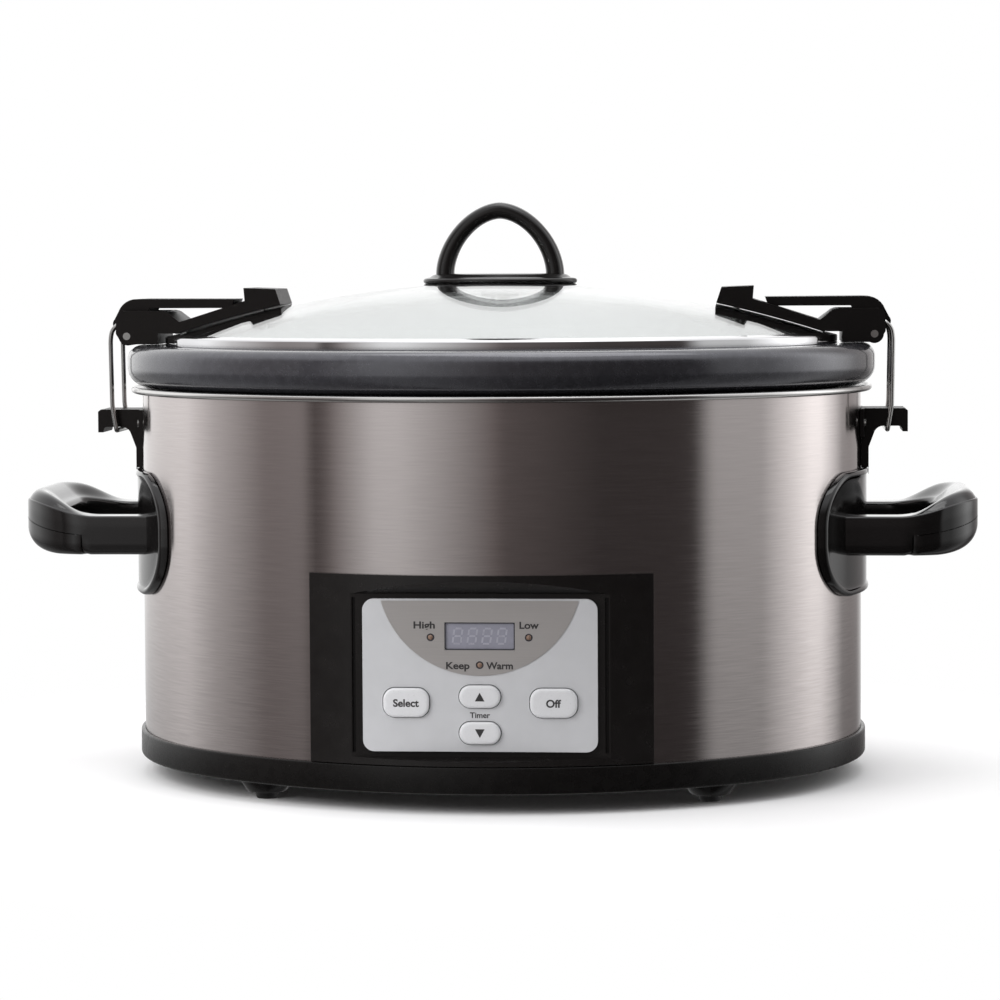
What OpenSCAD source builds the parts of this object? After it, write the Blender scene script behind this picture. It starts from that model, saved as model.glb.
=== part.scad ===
// Oval programmable slow cooker with a latched glass lid.
// Frame: +Z up, +X to the cook's right, front panel at -Y, origin on the table under the middle.
// Millimetres throughout.

/* [Housing] */
// Half length of the steel shell along X
shell_a = 169; // [166:0.5:172]
// Half depth of the steel shell along Y
shell_b = 137; // [135:0.5:139]
// Radius of the shell's end arcs
end_r = 121; // [121:1:121]
// Height of the plastic skirt's lower edge above the table
skirt_z = 9; // [8.5:0.5:9.5]
// Height of the plastic skirt's upper edge above the table
skirt_top_z = 21; // [20:0.5:22]
// Height of the heating well's rolled rim
flange_z = 180; // [180:0.5:181]

/* [Stoneware and lid] */
// Height of the top of the stoneware rim
crock_rim_z = 200.5; // [200.5:0.1:200.6]
// How far the stoneware rim stands out past the shell
crock_rim_out = 6.5; // [5.5:0.5:6.5]
// Height of the glass dome's apex
glass_top_z = 230; // [229.5:0.1:230]
// Rise of the dome above its own edge
glass_rise = 26.5; // [26:0.1:26.5]
// Thickness of the tempered glass
glass_t = 4; // [3.5:0.1:4]

/* [Control panel] */
// Half width of the black bezel
bezel_half_w = 75; // [72:1:77]
// Height of the bezel's top edge
bezel_top_z = 104; // [102:1:106]
// Width of the silver faceplate
face_w = 102; // [100:0.5:103]
// Height of the silver faceplate
face_h = 66.5; // [64:0.5:67]
// Travel of a push button
button_travel = 1; // [0.5:0.1:1.2]

/* [Carry handles] */
// How far a handle reaches past the middle of the cooker
handle_reach = 222; // [218:1:226]
// Half width of a handle's loop
handle_half_w = 52; // [48:1:54]
// Thickness of a handle's arms
handle_arm_h = 18; // [16:0.5:19]

/* [Latches] */
// Wire diameter of the latch bail
wire_d = 2.2; // [1.8:0.1:2.4]
// Distance between the two legs of the bail
bail_w = 30; // [28:1:31]
// Distance from the lever's pivot to the bail's pivot
crank_r = 7.5; // [7.2:0.1:7.8]
// Angle of the crank from straight up when the latch is closed
crank_angle = 40; // [38:1:42]

/* [Hidden] */
$fn = 64;
eps = 0.01;

// Oval: end arcs of end_r and side arcs of side_r, tangent where they meet
side_r = (shell_a * shell_a + shell_b * shell_b - 2 * shell_a * end_r) / (2 * (shell_b - end_r));
end_c = shell_a - end_r;
side_c = side_r - shell_b;
split = atan2(side_c, end_c);
wedge_k = 4;
end_wedge = [end_c, 0] + wedge_k * [end_c, side_c];
side_wedge = [0, -side_c] + (wedge_k + 1) * [end_c, side_c];

// Heating well and stoneware: offsets from the shell are negative inwards
well_top_u = -12;
well_low_u = -30;
well_floor_z = 40;
well_t = 1;
crock_seat_z = flange_z + 1;
crock_out_u = -15;
crock_low_u = -33;
crock_floor_z = 43;
crock_wall = 7.2;
crock_inside_z = 52;
ledge_z = 196.5;
ledge_u = -10.5;

// Lid
glass_u = -12.2;
glass_a = shell_a + glass_u;
glass_edge_z = glass_top_z - glass_rise;
band_u = -11;

// Panel: the flat face stands a little behind the bulge of the oval
face_y = -131;
face_t = 1.6;
face_z0 = 27;
face_mid_z = face_z0 + face_h / 2;
face_r = 5;
window_w = 30.5;
window_h = 12;
window_z = 77.3;
lamp_r = 1.45;
lamps = [[-21.3, 76.8], [21.3, 76.8], [0, 64.8]];
board_y = -122;

// Buttons: centre X and Z, width, height and corner radius
select_spec = [-32, 48.4, 20, 12.7, 5];
off_spec = [32, 48.4, 20.5, 12.7, 5];
up_spec = [0, 51.1, 18, 9.8, 4.8];
down_spec = [0, 35.2, 18, 9.8, 4.8];
button_specs = [select_spec, off_spec, up_spec, down_spec];
button_gap = 0.35;
button_proud = 1.4;

// Handles
handle_z = 104.7;
plate_t = 3.2;
plate_half_w = 70;
plate_z0 = 86;
plate_z1 = 142.5;
dish_r = end_r + plate_t - 0.8;

// Latch: pivot of the lever, pivot of the bail, and where the bail's foot sits under the hook
pivot_x = 174.5;
pivot_z = 204.8;
bail_x = pivot_x + crank_r * sin(crank_angle);
bail_z = pivot_z + crank_r * cos(crank_angle);
foot_x = 180.7;
shelf_z = 161.8;
foot_z = shelf_z - wire_d / 2 - 0.35;
arm_half_w = 20;
cheek_t = 2.5;
lever_half_w = 13;
pin_r = 1.75;
latch_screw_x = 111;

// Feet
foot_px = 99;
foot_py = 94;

// ---------- shared shapes ----------

// Points of an arc about (cx, cy) from angle a0 to a1
function arc(cx, cy, r, a0, a1, n = 6) =
    [for (i = [0:n]) let (a = a0 + (a1 - a0) * i / n) [cx + r * cos(a), cy + r * sin(a)]];

// Height of the glass dome's outer surface over the long axis
function glass_z(x) = glass_top_z - glass_rise * pow(x / glass_a, 2);

// Point of the oval, offset by u, at the polar direction t, found on its end or side arc
function oval_reach(t, u) =
    let (c = abs(cos(t)), s = abs(sin(t)),
         e = end_c * c + sqrt(pow(end_r + u, 2) - pow(end_c * s, 2)),
         d = -side_c * s + sqrt(pow(side_r + u, 2) - pow(side_c * c, 2)),
         on_end = e * s <= (e * c - end_c) * tan(split))
    on_end ? e : d;
function oval_point(t, u) = let (r = oval_reach(t, u)) [r * cos(t), r * sin(t)];

// Sweeps a 2D profile, given as (offset from the shell, height), round the whole oval.
// Each arc is a full turn cut to its own wedge, so neighbours meet on exactly the same plane.
module oval_ring() {
    for (flip = [0, 1]) mirror([flip, 0, 0]) intersection() {
        translate([end_c, 0, 0]) rotate(180) rotate_extrude($fn = 96)
            translate([end_r, 0]) children();
        linear_extrude(300) polygon([[end_c, 0], end_wedge, [end_wedge[0], -end_wedge[1]]]);
    }
    for (flip = [0, 1]) mirror([0, flip, 0]) intersection() {
        translate([0, -side_c, 0]) rotate(-90) rotate_extrude($fn = 96)
            translate([side_r, 0]) children();
        linear_extrude(300)
            polygon([[0, -side_c], side_wedge, [-side_wedge[0], side_wedge[1]]]);
    }
}

// Solid oval slab from z0 to z1, offset by u from the shell
module oval_slab(u, z0, z1) {
    translate([0, 0, z0]) linear_extrude(z1 - z0)
        polygon([for (t = [0:3:357]) oval_point(t, u)]);
}

module at_both_ends() {
    children();
    mirror([1, 0, 0]) children();
}

// Extrudes a profile drawn in X and Z over the depth y0 to y1
module slab_y(y0, y1) {
    translate([0, y1, 0]) rotate([90, 0, 0]) linear_extrude(y1 - y0) children();
}

module rounded_rect(w, h, r) {
    square([w - 2 * r, h], center = true);
    square([w, h - 2 * r], center = true);
    for (x = [-1, 1], y = [-1, 1]) translate([x * (w / 2 - r), y * (h / 2 - r)]) circle(r);
}

// Rod between two points, with slightly swollen round ends
module rod(p, q, r) {
    v = q - p;
    translate(p) rotate([0, acos(v[2] / norm(v)), atan2(v[1], v[0])])
        cylinder(h = norm(v), r = r, $fn = 24);
    for (end = [p, q]) translate(end) sphere(r * 1.12, $fn = 24);
}

module rod_chain(points, r) {
    for (i = [0:len(points) - 2]) rod(points[i], points[i + 1], r);
}

// Screw along +Z: pan head below z = 0, shank above
module screw(shank_r, length, head_r, head_h) {
    difference() {
        union() {
            translate([0, 0, -head_h]) cylinder(h = head_h, r = head_r);
            translate([0, 0, -eps]) cylinder(h = length, r = shank_r);
        }
        for (turn = [0, 90]) rotate(turn)
            translate([-head_r * 0.6, -0.4, -head_h - eps]) cube([head_r * 1.2, 0.8, head_h * 0.5]);
    }
}

// ---------- housing ----------

module base_pan() color("#1b1a1a") {
    difference() {
        union() {
            oval_ring() polygon([
                [-4, skirt_z], [0.6, skirt_z], [2, skirt_z + 1.4], [2, skirt_top_z - 0.8],
                [1.3, skirt_top_z], [0.2, skirt_top_z], [0.2, skirt_top_z - 2.2],
                [-4, skirt_top_z - 2.2]
            ]);
            oval_slab(-2, skirt_z, skirt_z + 3);
            for (x = [-1, 1], y = [-1, 1]) translate([x * foot_px, y * foot_py, 0]) {
                translate([0, 0, 3.2]) cylinder(h = skirt_z - 3.1, r1 = 8.5, r2 = 12.5);
            }
            for (x = [-1, 1], y = [-1, 1]) translate([x * 70, y * 50, skirt_z + 2.9])
                cylinder(h = 33 - skirt_z - 2.9, r = 5);
        }
        for (x = [-1, 1], y = [-1, 1]) {
            translate([x * foot_px, y * foot_py, 0]) cylinder(h = 8, r = 2.6);
            translate([x * 70, y * 50, 0]) cylinder(h = 40, r = 1.6);
            translate([x * 70, y * 50, 0]) cylinder(h = skirt_z + 1.5, r = 4.2);
        }
        for (x = [-50:20:50]) translate([x - 2, -28, skirt_z - 1]) cube([4, 56, 6]);
    }
}

module outer_shell() color("#8d8785") {
    difference() {
        oval_ring() polygon([
            [-1, skirt_top_z - 2], [0, skirt_top_z - 2], [0, flange_z - 0.8], [-1, flange_z - 0.8]
        ]);
        translate([-bezel_half_w + 2, -200, 0]) cube([2 * bezel_half_w - 4, 150, bezel_top_z - 2]);
        translate([0, 100, 34]) rotate([-90, 0, 0]) cylinder(h = 60, r = 7.2);
    }
}

module heating_well() color("#c9c9c8") {
    well = concat(
        [[well_top_u, flange_z + 0.6], [well_top_u, flange_z - 4], [well_low_u, well_floor_z + 12]],
        arc(well_low_u - 12, well_floor_z + 12, 12, 0, -90),
        [[well_low_u - 16, well_floor_z], [well_low_u - 16, well_floor_z - well_t]],
        arc(well_low_u - 12, well_floor_z + 12, 12 + well_t, -90, 0),
        [[well_top_u + well_t, flange_z - 4], [well_top_u + well_t, flange_z - 0.6],
         [3.5, flange_z - 0.6], [3.5, flange_z + 0.6]]);
    difference() {
        union() {
            oval_ring() polygon(well);
            oval_ring() translate([3.5, flange_z]) circle(1.5, $fn = 24);
            oval_slab(well_low_u - 15, well_floor_z - well_t, well_floor_z);
        }
        translate([0, 0, well_floor_z - 5]) cylinder(h = 10, r = 9);
    }
}

// The band hugs the outside of the tapered wall
function well_u(z) = well_low_u + (well_top_u - well_low_u) * (z - well_floor_z - 12)
    / (flange_z - 4 - well_floor_z - 12) + well_t;

module heater_band() color("#9a8f80") {
    difference() {
        oval_ring() polygon([
            [well_u(70) + 0.1, 70], [well_u(70) + 2.2, 70],
            [well_u(112) + 2.2, 112], [well_u(112) + 0.1, 112]
        ]);
        translate([-4, 50, 60]) cube([8, 120, 60]);
    }
}

module insulation_blanket() color("#e6dfc8") {
    difference() {
        oval_ring() polygon([
            [well_u(62) + 2.6, 62], [-3, 62], [-3, 166], [well_u(166) + 2.6, 166]
        ]);
        translate([-78, -200, 50]) cube([156, 150, 62]);
        translate([-12, 100, 50]) cube([24, 80, 16]);
    }
}

module heat_shield() color("#b8b8b6") {
    difference() {
        oval_slab(-52, 33, 34);
        translate([0, 0, 30]) cylinder(h = 8, r = 14);
        for (x = [-1, 1], y = [-1, 1]) translate([x * 70, y * 50, 30]) cylinder(h = 8, r = 1.6);
    }
}

module sensor_cup() color("#c2b280") {
    translate([0, 0, well_floor_z - 2.5]) cylinder(h = 4.8, r = 8);
    translate([0, 0, well_floor_z - 12]) cylinder(h = 9.6, r = 5);
}

module sensor_spring() color("#a8a8a8") {
    for (z = [12.6:3.45:36.8]) translate([0, 0, z])
        rotate_extrude($fn = 48) translate([7, 0]) circle(0.6, $fn = 16);
    for (a = [0:90:270]) rotate(a) translate([7, 0, 12.1]) cylinder(h = 24.8, r = 0.5, $fn = 16);
}

module thermal_fuse() color("#d8d2c0") {
    translate([30, 20, 36.6]) rotate([0, 90, 0]) cylinder(h = 14, r = 2.2);
    translate([24, 20, 36.6]) rotate([0, 90, 0]) cylinder(h = 26, r = 0.6);
}

module power_board() color("#2f6b3c") {
    translate([-36, -92, 15]) cube([72, 44, 1.6]);
    for (x = [-28, 28], y = [-86, -54]) translate([x, y, skirt_z + 3]) cylinder(h = 3.05, r = 2.2);
    translate([-30, -84, 16.5]) cube([18, 15, 14]);
    translate([-6, -84, 16.5]) cube([12, 26, 12]);
    translate([18, -70, 16.5]) cylinder(h = 15, r = 6);
}

// ---------- control panel ----------

module control_board() color("#2f6b3c") {
    translate([-44, board_y, 30]) cube([88, 1.6, 60]);
    translate([-10, board_y + 1.5, 38]) cube([20, 4, 14]);
}

module tact_switches() color("#3a3a3a") {
    for (b = button_specs) translate([b[0], 0, b[1]]) {
        translate([-3, board_y - 3.4, -3]) cube([6, 3.4, 6]);
        rotate([90, 0, 0]) translate([0, 0, -board_y + 3.3]) cylinder(h = 1.2, r = 1.7);
    }
}

module display_module() color("#e8e8e8") {
    translate([-window_w / 2 + 1, board_y - 6.4, window_z - window_h / 2 + 0.8])
        cube([window_w - 2, 6.4, window_h - 1.6]);
    for (x = [-10.2, -3.4, 3.4, 10.2]) translate([x, 0, window_z])
        slab_y(board_y - 6.7, board_y - 6.3) digit_eight();
}

// Seven bars of a display digit
module digit_eight() {
    for (z = [-3.6, 0, 3.6]) translate([0, z]) square([3, 0.7], center = true);
    for (x = [-1.95, 1.95], z = [-1.8, 1.8]) translate([x, z]) square([0.7, 2.7], center = true);
}

module wiring_harness() color("#b03030") {
    for (x = [-1, 1]) rod_chain([[x * 34, -64, 18.2], [x * 58, -84, 24], [x * 60, -108, 40],
                                 [x * 60, -108, 76], [x * 58, -107, 84]], 1.1);
    rod_chain([[-32, -90, 18.3], [-32, -104, 30], [-32, -118.6, 36]], 1.4);
    rod_chain([[0, -50, 18.5], [16, 20, 18.5], [8, 110, 26], [0, 122, 34]], 1.6);
}

module panel_bezel() color("#181717") {
    difference() {
        intersection() {
            oval_ring() polygon([
                [-7, skirt_top_z + 0.3], [2, skirt_top_z + 0.3], [2, bezel_top_z],
                [0.2, bezel_top_z], [0.2, bezel_top_z - 2.4], [-7, bezel_top_z - 2.4]
            ]);
            translate([-bezel_half_w, -200, 0]) cube([2 * bezel_half_w, 150, 130]);
        }
        // the sheet steel of the shell slides in behind the bezel's lip
        difference() {
            translate([-90, -200, 0]) cube([180, 150, 130]);
            translate([-bezel_half_w + 2.4, -201, -1]) cube([2 * bezel_half_w - 4.8, 152, 132]);
            oval_ring() polygon([[0.2, 0], [4, 0], [4, 130], [0.2, 130]]);
        }
        // recess with a flat floor and a sloping brow
        rotate([90, 0, 90]) translate([0, 0, -58]) linear_extrude(116)
            polygon([[face_y, face_z0 - 2.5], [-150, face_z0 - 5], [-150, 106], [-139, 101.6],
                     [face_y, face_z0 + face_h + 2]]);
        for (x = [-1, 1]) translate([x * 55, face_y, face_mid_z]) cube([1.6, 4, face_h + 1], center = true);
        translate([0, -100, face_mid_z]) rotate([90, 0, 0]) linear_extrude(60)
            square([face_w - 8, face_h - 3.6], center = true);
        bezel_screw_spots() translate([0, 0, -1]) cylinder(h = 9, r = 1.5);
    }
}

module bezel_screw_spots() {
    for (x = [-66, 66], z = [34, 90]) translate([x, -117, z]) rotate([90, 0, 0]) children();
}

module button_hole(spec, gap) {
    translate([spec[0], spec[1]]) rounded_rect(spec[2] + 2 * gap, spec[3] + 2 * gap, spec[4] + gap);
}

module faceplate() color("#c9ccce") {
    slab_y(face_y - face_t, face_y) difference() {
        translate([0, face_mid_z]) rounded_rect(face_w, face_h, face_r);
        for (b = button_specs) button_hole(b, button_gap);
        translate([0, window_z]) square([window_w, window_h], center = true);
        for (p = lamps) translate(p) circle(lamp_r);
    }
}

// Brushed segment behind the display: a disc cut off by the faceplate's top edge
module display_surround() color("#a29b99") {
    slab_y(face_y - face_t - 0.3, face_y - face_t) difference() {
        translate([0, 104.6]) circle(44.5, $fn = 96);
        translate([-60, face_z0 + face_h - 0.8]) square([120, 80]);
        translate([0, window_z]) square([window_w, window_h], center = true);
        for (p = lamps) translate(p) circle(lamp_r);
    }
}

module display_window() color("#6f7080") {
    slab_y(face_y - face_t - 0.1, face_y)
        translate([0, window_z]) square([window_w, window_h], center = true);
}

module indicator_lights() color("#5a4030") {
    for (p = lamps) translate([p[0], 0, p[1]]) rotate([90, 0, 0]) {
        translate([0, 0, -face_y - 2]) cylinder(h = 3.4, r = lamp_r);
        translate([0, 0, -board_y]) cylinder(h = 9, r = 1);
    }
}

module button(spec) {
    translate([spec[0], 0, spec[1]]) {
        slab_y(face_y - face_t - button_proud, face_y + 1) rounded_rect(spec[2], spec[3], spec[4]);
        slab_y(face_y - face_t - button_proud - 0.4, face_y - face_t - button_proud)
            rounded_rect(spec[2] - 1, spec[3] - 1, spec[4] - 0.5);
        slab_y(face_y + 0.3, face_y + 1.3)
            rounded_rect(spec[2] + 2.4, spec[3] + 1.4, spec[4]);
        rotate([90, 0, 0]) translate([0, 0, -board_y + 4.5 + button_travel + 0.3])
            cylinder(h = -face_y + board_y - 6.7 + (1.2 - button_travel), r = 1.7);
    }
}

module select_button() color("#d2d5d8") button(select_spec);
module off_button() color("#d2d5d8") button(off_spec);
module timer_up_button() color("#d2d5d8") button(up_spec);
module timer_down_button() color("#d2d5d8") button(down_spec);

module bezel_screws() color("#8a8a8a") {
    bezel_screw_spots() screw(1.4, 7.6, 3, 2);
}

module base_screws() color("#8a8a8a") {
    for (x = [-1, 1], y = [-1, 1]) translate([x * 70, y * 50, skirt_z + 1.5])
        screw(1.5, 25, 4, 1.5);
}

module rubber_feet() color("#0c0c0c") {
    for (x = [-1, 1], y = [-1, 1]) translate([x * foot_px, y * foot_py, 0]) {
        cylinder(h = 1, r1 = 4.4, r2 = 5);
        translate([0, 0, 1 - eps]) cylinder(h = 2.2 + eps, r = 5);
        translate([0, 0, 3.1]) cylinder(h = 4.6, r = 2.5);
    }
}

// Gland of the power lead, low in the middle of the back
module cord_grommet() color("#141414") {
    translate([0, 0, 34]) rotate([-90, 0, 0]) difference() {
        union() {
            translate([0, 0, shell_b + 0.3]) cylinder(h = 2.2, r = 10);
            translate([0, 0, shell_b - 3]) cylinder(h = 3.4, r = 7);
            translate([0, 0, shell_b - 5]) cylinder(h = 2.2, r = 9);
        }
        translate([0, 0, shell_b - 10]) cylinder(h = 20, r = 3.6);
    }
}

// ---------- carry handles ----------

// Round-cornered shield that wraps the end of the shell
module handle_plate() {
    difference() {
        intersection() {
            translate([end_c, 0, 0]) rotate(-50) rotate_extrude(angle = 100, $fn = 96)
                translate([end_r + 0.2, plate_z0 - 5]) square([plate_t, plate_z1 - plate_z0 + 10]);
            translate([0, 0, (plate_z0 + plate_z1) / 2]) rotate([90, 0, 90]) linear_extrude(300)
                rounded_rect(2 * plate_half_w, plate_z1 - plate_z0, 24);
        }
        // shallow dish inside the raised lip
        intersection() {
            translate([end_c, 0, 0]) rotate(-50) rotate_extrude(angle = 100, $fn = 96)
                translate([dish_r, plate_z0 - 5])
                    square([2, plate_z1 - plate_z0 + 10]);
            translate([0, 0, (plate_z0 + plate_z1) / 2]) rotate([90, 0, 90]) linear_extrude(300)
                rounded_rect(2 * plate_half_w - 5, plate_z1 - plate_z0 - 5, 21.5);
        }
    }
}

// Plan of the loop: a D with an open middle
module handle_plan() {
    corner = 34;
    inner = handle_half_w - 15;
    difference() {
        union() {
            translate([140, -handle_half_w])
                square([handle_reach - corner - 140, 2 * handle_half_w]);
            translate([140, -handle_half_w + corner])
                square([handle_reach - 140, 2 * (handle_half_w - corner)]);
            for (y = [-1, 1]) translate([handle_reach - corner, y * (handle_half_w - corner)])
                circle(corner);
        }
        translate([130, -inner]) square([handle_reach - 18 - 22 - 130, 2 * inner]);
        translate([130, -inner + 22]) square([handle_reach - 18 - 130, 2 * (inner - 22)]);
        for (y = [-1, 1]) translate([handle_reach - 18 - 22, y * (inner - 22)]) circle(22);
    }
}

// Side of the loop: level arms that sweep up to the grip
function ease(t) = t * t * (3 - 2 * t);
grip_rise = 10.8;
grip_x = handle_reach - 12;
arm_x = handle_reach - 36;
end_ellipse = [22, 11];

module handle_side() {
    polygon(concat(
        [[140, handle_z]],
        [for (t = [0:15:90]) [handle_reach + 0.5 - end_ellipse[0] * (1 - sin(t)),
                              handle_z + end_ellipse[1] * (1 - cos(t))]],
        arc(handle_reach - 6.5, handle_z + handle_arm_h + grip_rise - 7, 7, 0, 90, 5),
        [for (t = [1:-0.125:0]) [arm_x + (grip_x - arm_x) * t,
                                 handle_z + handle_arm_h + grip_rise * ease(t)]],
        [[140, handle_z + handle_arm_h]]
    ));
}

module handle_loop() {
    difference() {
        intersection() {
            slab_y(-60, 60) handle_side();
            translate([0, 0, 90]) linear_extrude(60) handle_plan();
        }
        translate([end_c, 0, 90]) cylinder(h = 60, r = dish_r, $fn = 96);
    }
}

// The underside of the grip is a separate moulding, split from the arms by a fine step
cap_x = 183;
cap_top_z = handle_z + 9;

module cap_zone() {
    translate([cap_x, -60, handle_z - 5]) cube([60, 120, cap_top_z - handle_z + 5]);
}

module handle() {
    difference() {
        handle_loop();
        cap_zone();
        for (y = [-1, 1]) translate([cap_x + 5, y * 44, handle_z]) cylinder(h = 14, r = 1.3);
    }
}

module handle_cap() {
    difference() {
        intersection() {
            handle_loop();
            translate([0.4, 0, -0.3]) cap_zone();
        }
        for (y = [-1, 1]) translate([cap_x + 5, y * 44, handle_z - 1]) cylinder(h = 14, r = 1.5);
        for (y = [-1, 1]) translate([cap_x + 5, y * 44, handle_z - 1]) cylinder(h = 3, r = 3);
    }
}

module right_handle_plate() color("#151414") handle_plate();
module left_handle_plate() color("#151414") mirror([1, 0, 0]) handle_plate();
module right_handle() color("#151414") handle();
module left_handle() color("#151414") mirror([1, 0, 0]) handle();
module right_handle_cap() color("#1a1919") handle_cap();
module left_handle_cap() color("#1a1919") mirror([1, 0, 0]) handle_cap();

module handle_screws() color("#8a8a8a") at_both_ends() {
    for (y = [-1, 1]) translate([cap_x + 5, y * 44, handle_z + 2]) screw(1.2, 9, 2.6, 1.6);
}

// Hook that the bail's foot catches under
module hook_bracket() {
    stem_x = end_c + end_r + 0.2;
    slab_y(-11, 11) polygon(concat(
        [[stem_x + 1, 160], [stem_x + 1, 170], [189, 170], [190.3, 169]],
        [[190.3, shelf_z - 2.6], [188, shelf_z - 2.6], [187.7, shelf_z - 2]],
        arc(186, shelf_z - 1.7, 1.7, 0, 90, 3),
        [[179, shelf_z]],
        arc(179, shelf_z - 4.6, 4.6, 90, 150, 4),
        [[172.2, 152], [172.2, plate_z1 - 3], [stem_x + 1, plate_z1 - 3]]
    ));
    intersection() {
        translate([end_c, 0, 0]) rotate(-20) rotate_extrude(angle = 40, $fn = 96)
            translate([end_r + 0.2, 0]) square([1.6, 200]);
        union() {
            translate([150, -17, 157]) cube([40, 34, 13]);
            translate([150, -11, plate_z1 + 0.2]) cube([40, 22, 16]);
        }
    }
}

module hook_bracket_trimmed() {
    difference() {
        hook_bracket();
        translate([end_c, 0, 0]) rotate(-35) rotate_extrude(angle = 70, $fn = 96)
            translate([end_r - 10, plate_z0]) square([plate_t + 10.3, plate_z1 - plate_z0 + 0.1]);
        translate([end_c, 0, 130]) cylinder(h = 60, r = end_r + 0.2, $fn = 96);
    }
}

module right_hook_bracket() color("#171414") hook_bracket_trimmed();
module left_hook_bracket() color("#171414") mirror([1, 0, 0]) hook_bracket_trimmed();

module hook_rivets() color("#8a8a8a") at_both_ends()
    for (turn = [-6.5, 6.5])
        translate([end_c, 0, 163.5]) rotate(turn) translate([end_r + 1.83, 0, 0])
            rotate([0, 90, 0]) cylinder(h = 0.9, r = 1.8);

// ---------- stoneware ----------

module stoneware_crock() color("#3f3f45") {
    top = crock_rim_z;
    out = crock_rim_out;
    wall = concat(
        [[crock_out_u, crock_seat_z - 3], [crock_low_u, crock_floor_z + 14]],
        arc(crock_low_u - 14, crock_floor_z + 14, 14, 0, -90),
        [[crock_low_u - 20, crock_floor_z], [crock_low_u - 20, crock_inside_z]],
        arc(crock_low_u - crock_wall - 12, crock_inside_z + 12, 12, -90, 0),
        [[crock_out_u - crock_wall, ledge_z - 6]],
        arc(crock_out_u - crock_wall + 1.5, ledge_z - 1.5, 1.5, 180, 90, 3),
        [[ledge_u, ledge_z], [ledge_u, top - 2]],
        arc(ledge_u + 2, top - 2, 2, 180, 90, 4),
        arc(out - 6, top - 6, 6, 90, 0, 8),
        arc(out - 9, crock_seat_z + 9.4, 9, 0, -70, 8),
        [[-3, crock_seat_z], [crock_out_u + 2, crock_seat_z], [crock_out_u, crock_seat_z - 1]]
    );
    oval_ring() polygon(wall);
    oval_slab(crock_low_u - 19, crock_floor_z, crock_inside_z);
}

// ---------- lid ----------

dome_rings = 8;
dome_step = 6;

turns = 360 / dome_step;
layer_n = dome_rings * turns;

// One skin of the dome: rings of the oval shrink towards the apex, which comes last
function dome_layer(drop) = concat(
    [for (i = [dome_rings:-1:1], j = [0:turns - 1])
        let (t = i / dome_rings, p = oval_point(j * dome_step, glass_u) * t)
        [p[0], p[1], glass_top_z - glass_rise * t * t - drop]],
    [[0, 0, glass_top_z - drop]]);
function turned(f, flip) = flip ? [f[2], f[1], f[0]] : f;
function dome_skin(base, flip) = concat(
    [for (i = [0:dome_rings - 2], j = [0:turns - 1])
        let (a = base + i * turns + j, b = base + i * turns + (j + 1) % turns)
        for (f = [[a, a + turns, b], [b, a + turns, b + turns]]) turned(f, flip)],
    [for (j = [0:turns - 1])
        let (a = base + (dome_rings - 1) * turns)
        turned([a + j, base + layer_n, a + (j + 1) % turns], flip)]);
function dome_edge() =
    [for (j = [0:turns - 1])
        let (b = (j + 1) % turns, c = layer_n + 1)
        for (f = [[j, b, c + j], [b, c + b, c + j]]) f];

module lid_glass() color("#dfe6e4", 0.4) {
    difference() {
        polyhedron(
            points = concat(dome_layer(0), dome_layer(glass_t)),
            faces = concat(dome_skin(0, false), dome_skin(layer_n + 1, true), dome_edge()),
            convexity = 4);
        translate([0, 0, 200]) cylinder(h = 60, r = 3.2);
        for (x = [-1, 1]) translate([x * latch_screw_x, 0, 200]) cylinder(h = 60, r = 2.8);
    }
}

module lid_rim_band() color("#cfcfcf") {
    low = glass_edge_z - glass_t;
    oval_ring() polygon([
        [band_u, low - 0.7], [band_u, glass_edge_z + 0.6], [band_u - 0.7, glass_edge_z + 1.2],
        [band_u - 5.5, glass_edge_z + 2.1], [band_u - 5.6, glass_edge_z + 1.7],
        [glass_u + 0.05, glass_edge_z + 0.15], [glass_u + 0.05, low - 0.05], [band_u - 5, low - 0.05],
        [band_u - 5, low - 0.7]
    ]);
}

module lid_gasket() color("#2a2a2a") {
    low = glass_edge_z - glass_t - 0.75;
    oval_ring() polygon([
        [band_u - 0.2, low], [band_u - 13.2, low], [band_u - 13.2, low - 7.5], [band_u - 12.2, low - 8],
        [band_u - 12, low - 1.9], [band_u - 0.2, low - 1.8]
    ]);
}

module knob_plan(grow) {
    polygon([for (t = [0:6:354]) [(36.3 + grow) * cos(t), (22 + grow) * sin(t)]]);
}

module knob_base() color("#161515") {
    difference() {
        union() {
            translate([0, 0, 226]) linear_extrude(2.4) knob_plan(-1.2);
            translate([0, 0, 228.4]) linear_extrude(2.8) knob_plan(0);
            translate([0, 0, 231.2]) linear_extrude(1.4) knob_plan(-1.2);
            translate([0, 0, 232.6]) linear_extrude(0.8) knob_plan(-3);
        }
        translate([0, 0, glass_top_z - 7.5]) cylinder(h = 8, r1 = 184.6, r2 = 0.2, $fn = 96);
        translate([0, 0, 220]) cylinder(h = 11.5, r = 2);
    }
}

module arch_half(half_w, height, y0) {
    polygon([for (t = [0:6:180]) [half_w * cos(t), y0 + height * sin(t)]]);
}

module knob_handle() color("#161515") {
    foot = 233.4;
    slab_y(-7, 7) difference() {
        union() {
            arch_half(30.2, 33.4, foot);
            translate([-30.2, foot]) square([60.4, 0.01]);
        }
        arch_half(22, 25.8, foot);
    }
}

module knob_washer() color("#303030") {
    translate([0, 0, glass_top_z - glass_t - 1.9]) difference() {
        cylinder(h = 1.5, r = 9);
        translate([0, 0, -1]) cylinder(h = 4, r = 2.1);
    }
}

module knob_screw() color("#b0b0b0") {
    translate([0, 0, glass_top_z - glass_t - 2]) screw(1.9, 7, 4.5, 2.4);
}

// ---------- latches, drawn for the right-hand end ----------

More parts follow.
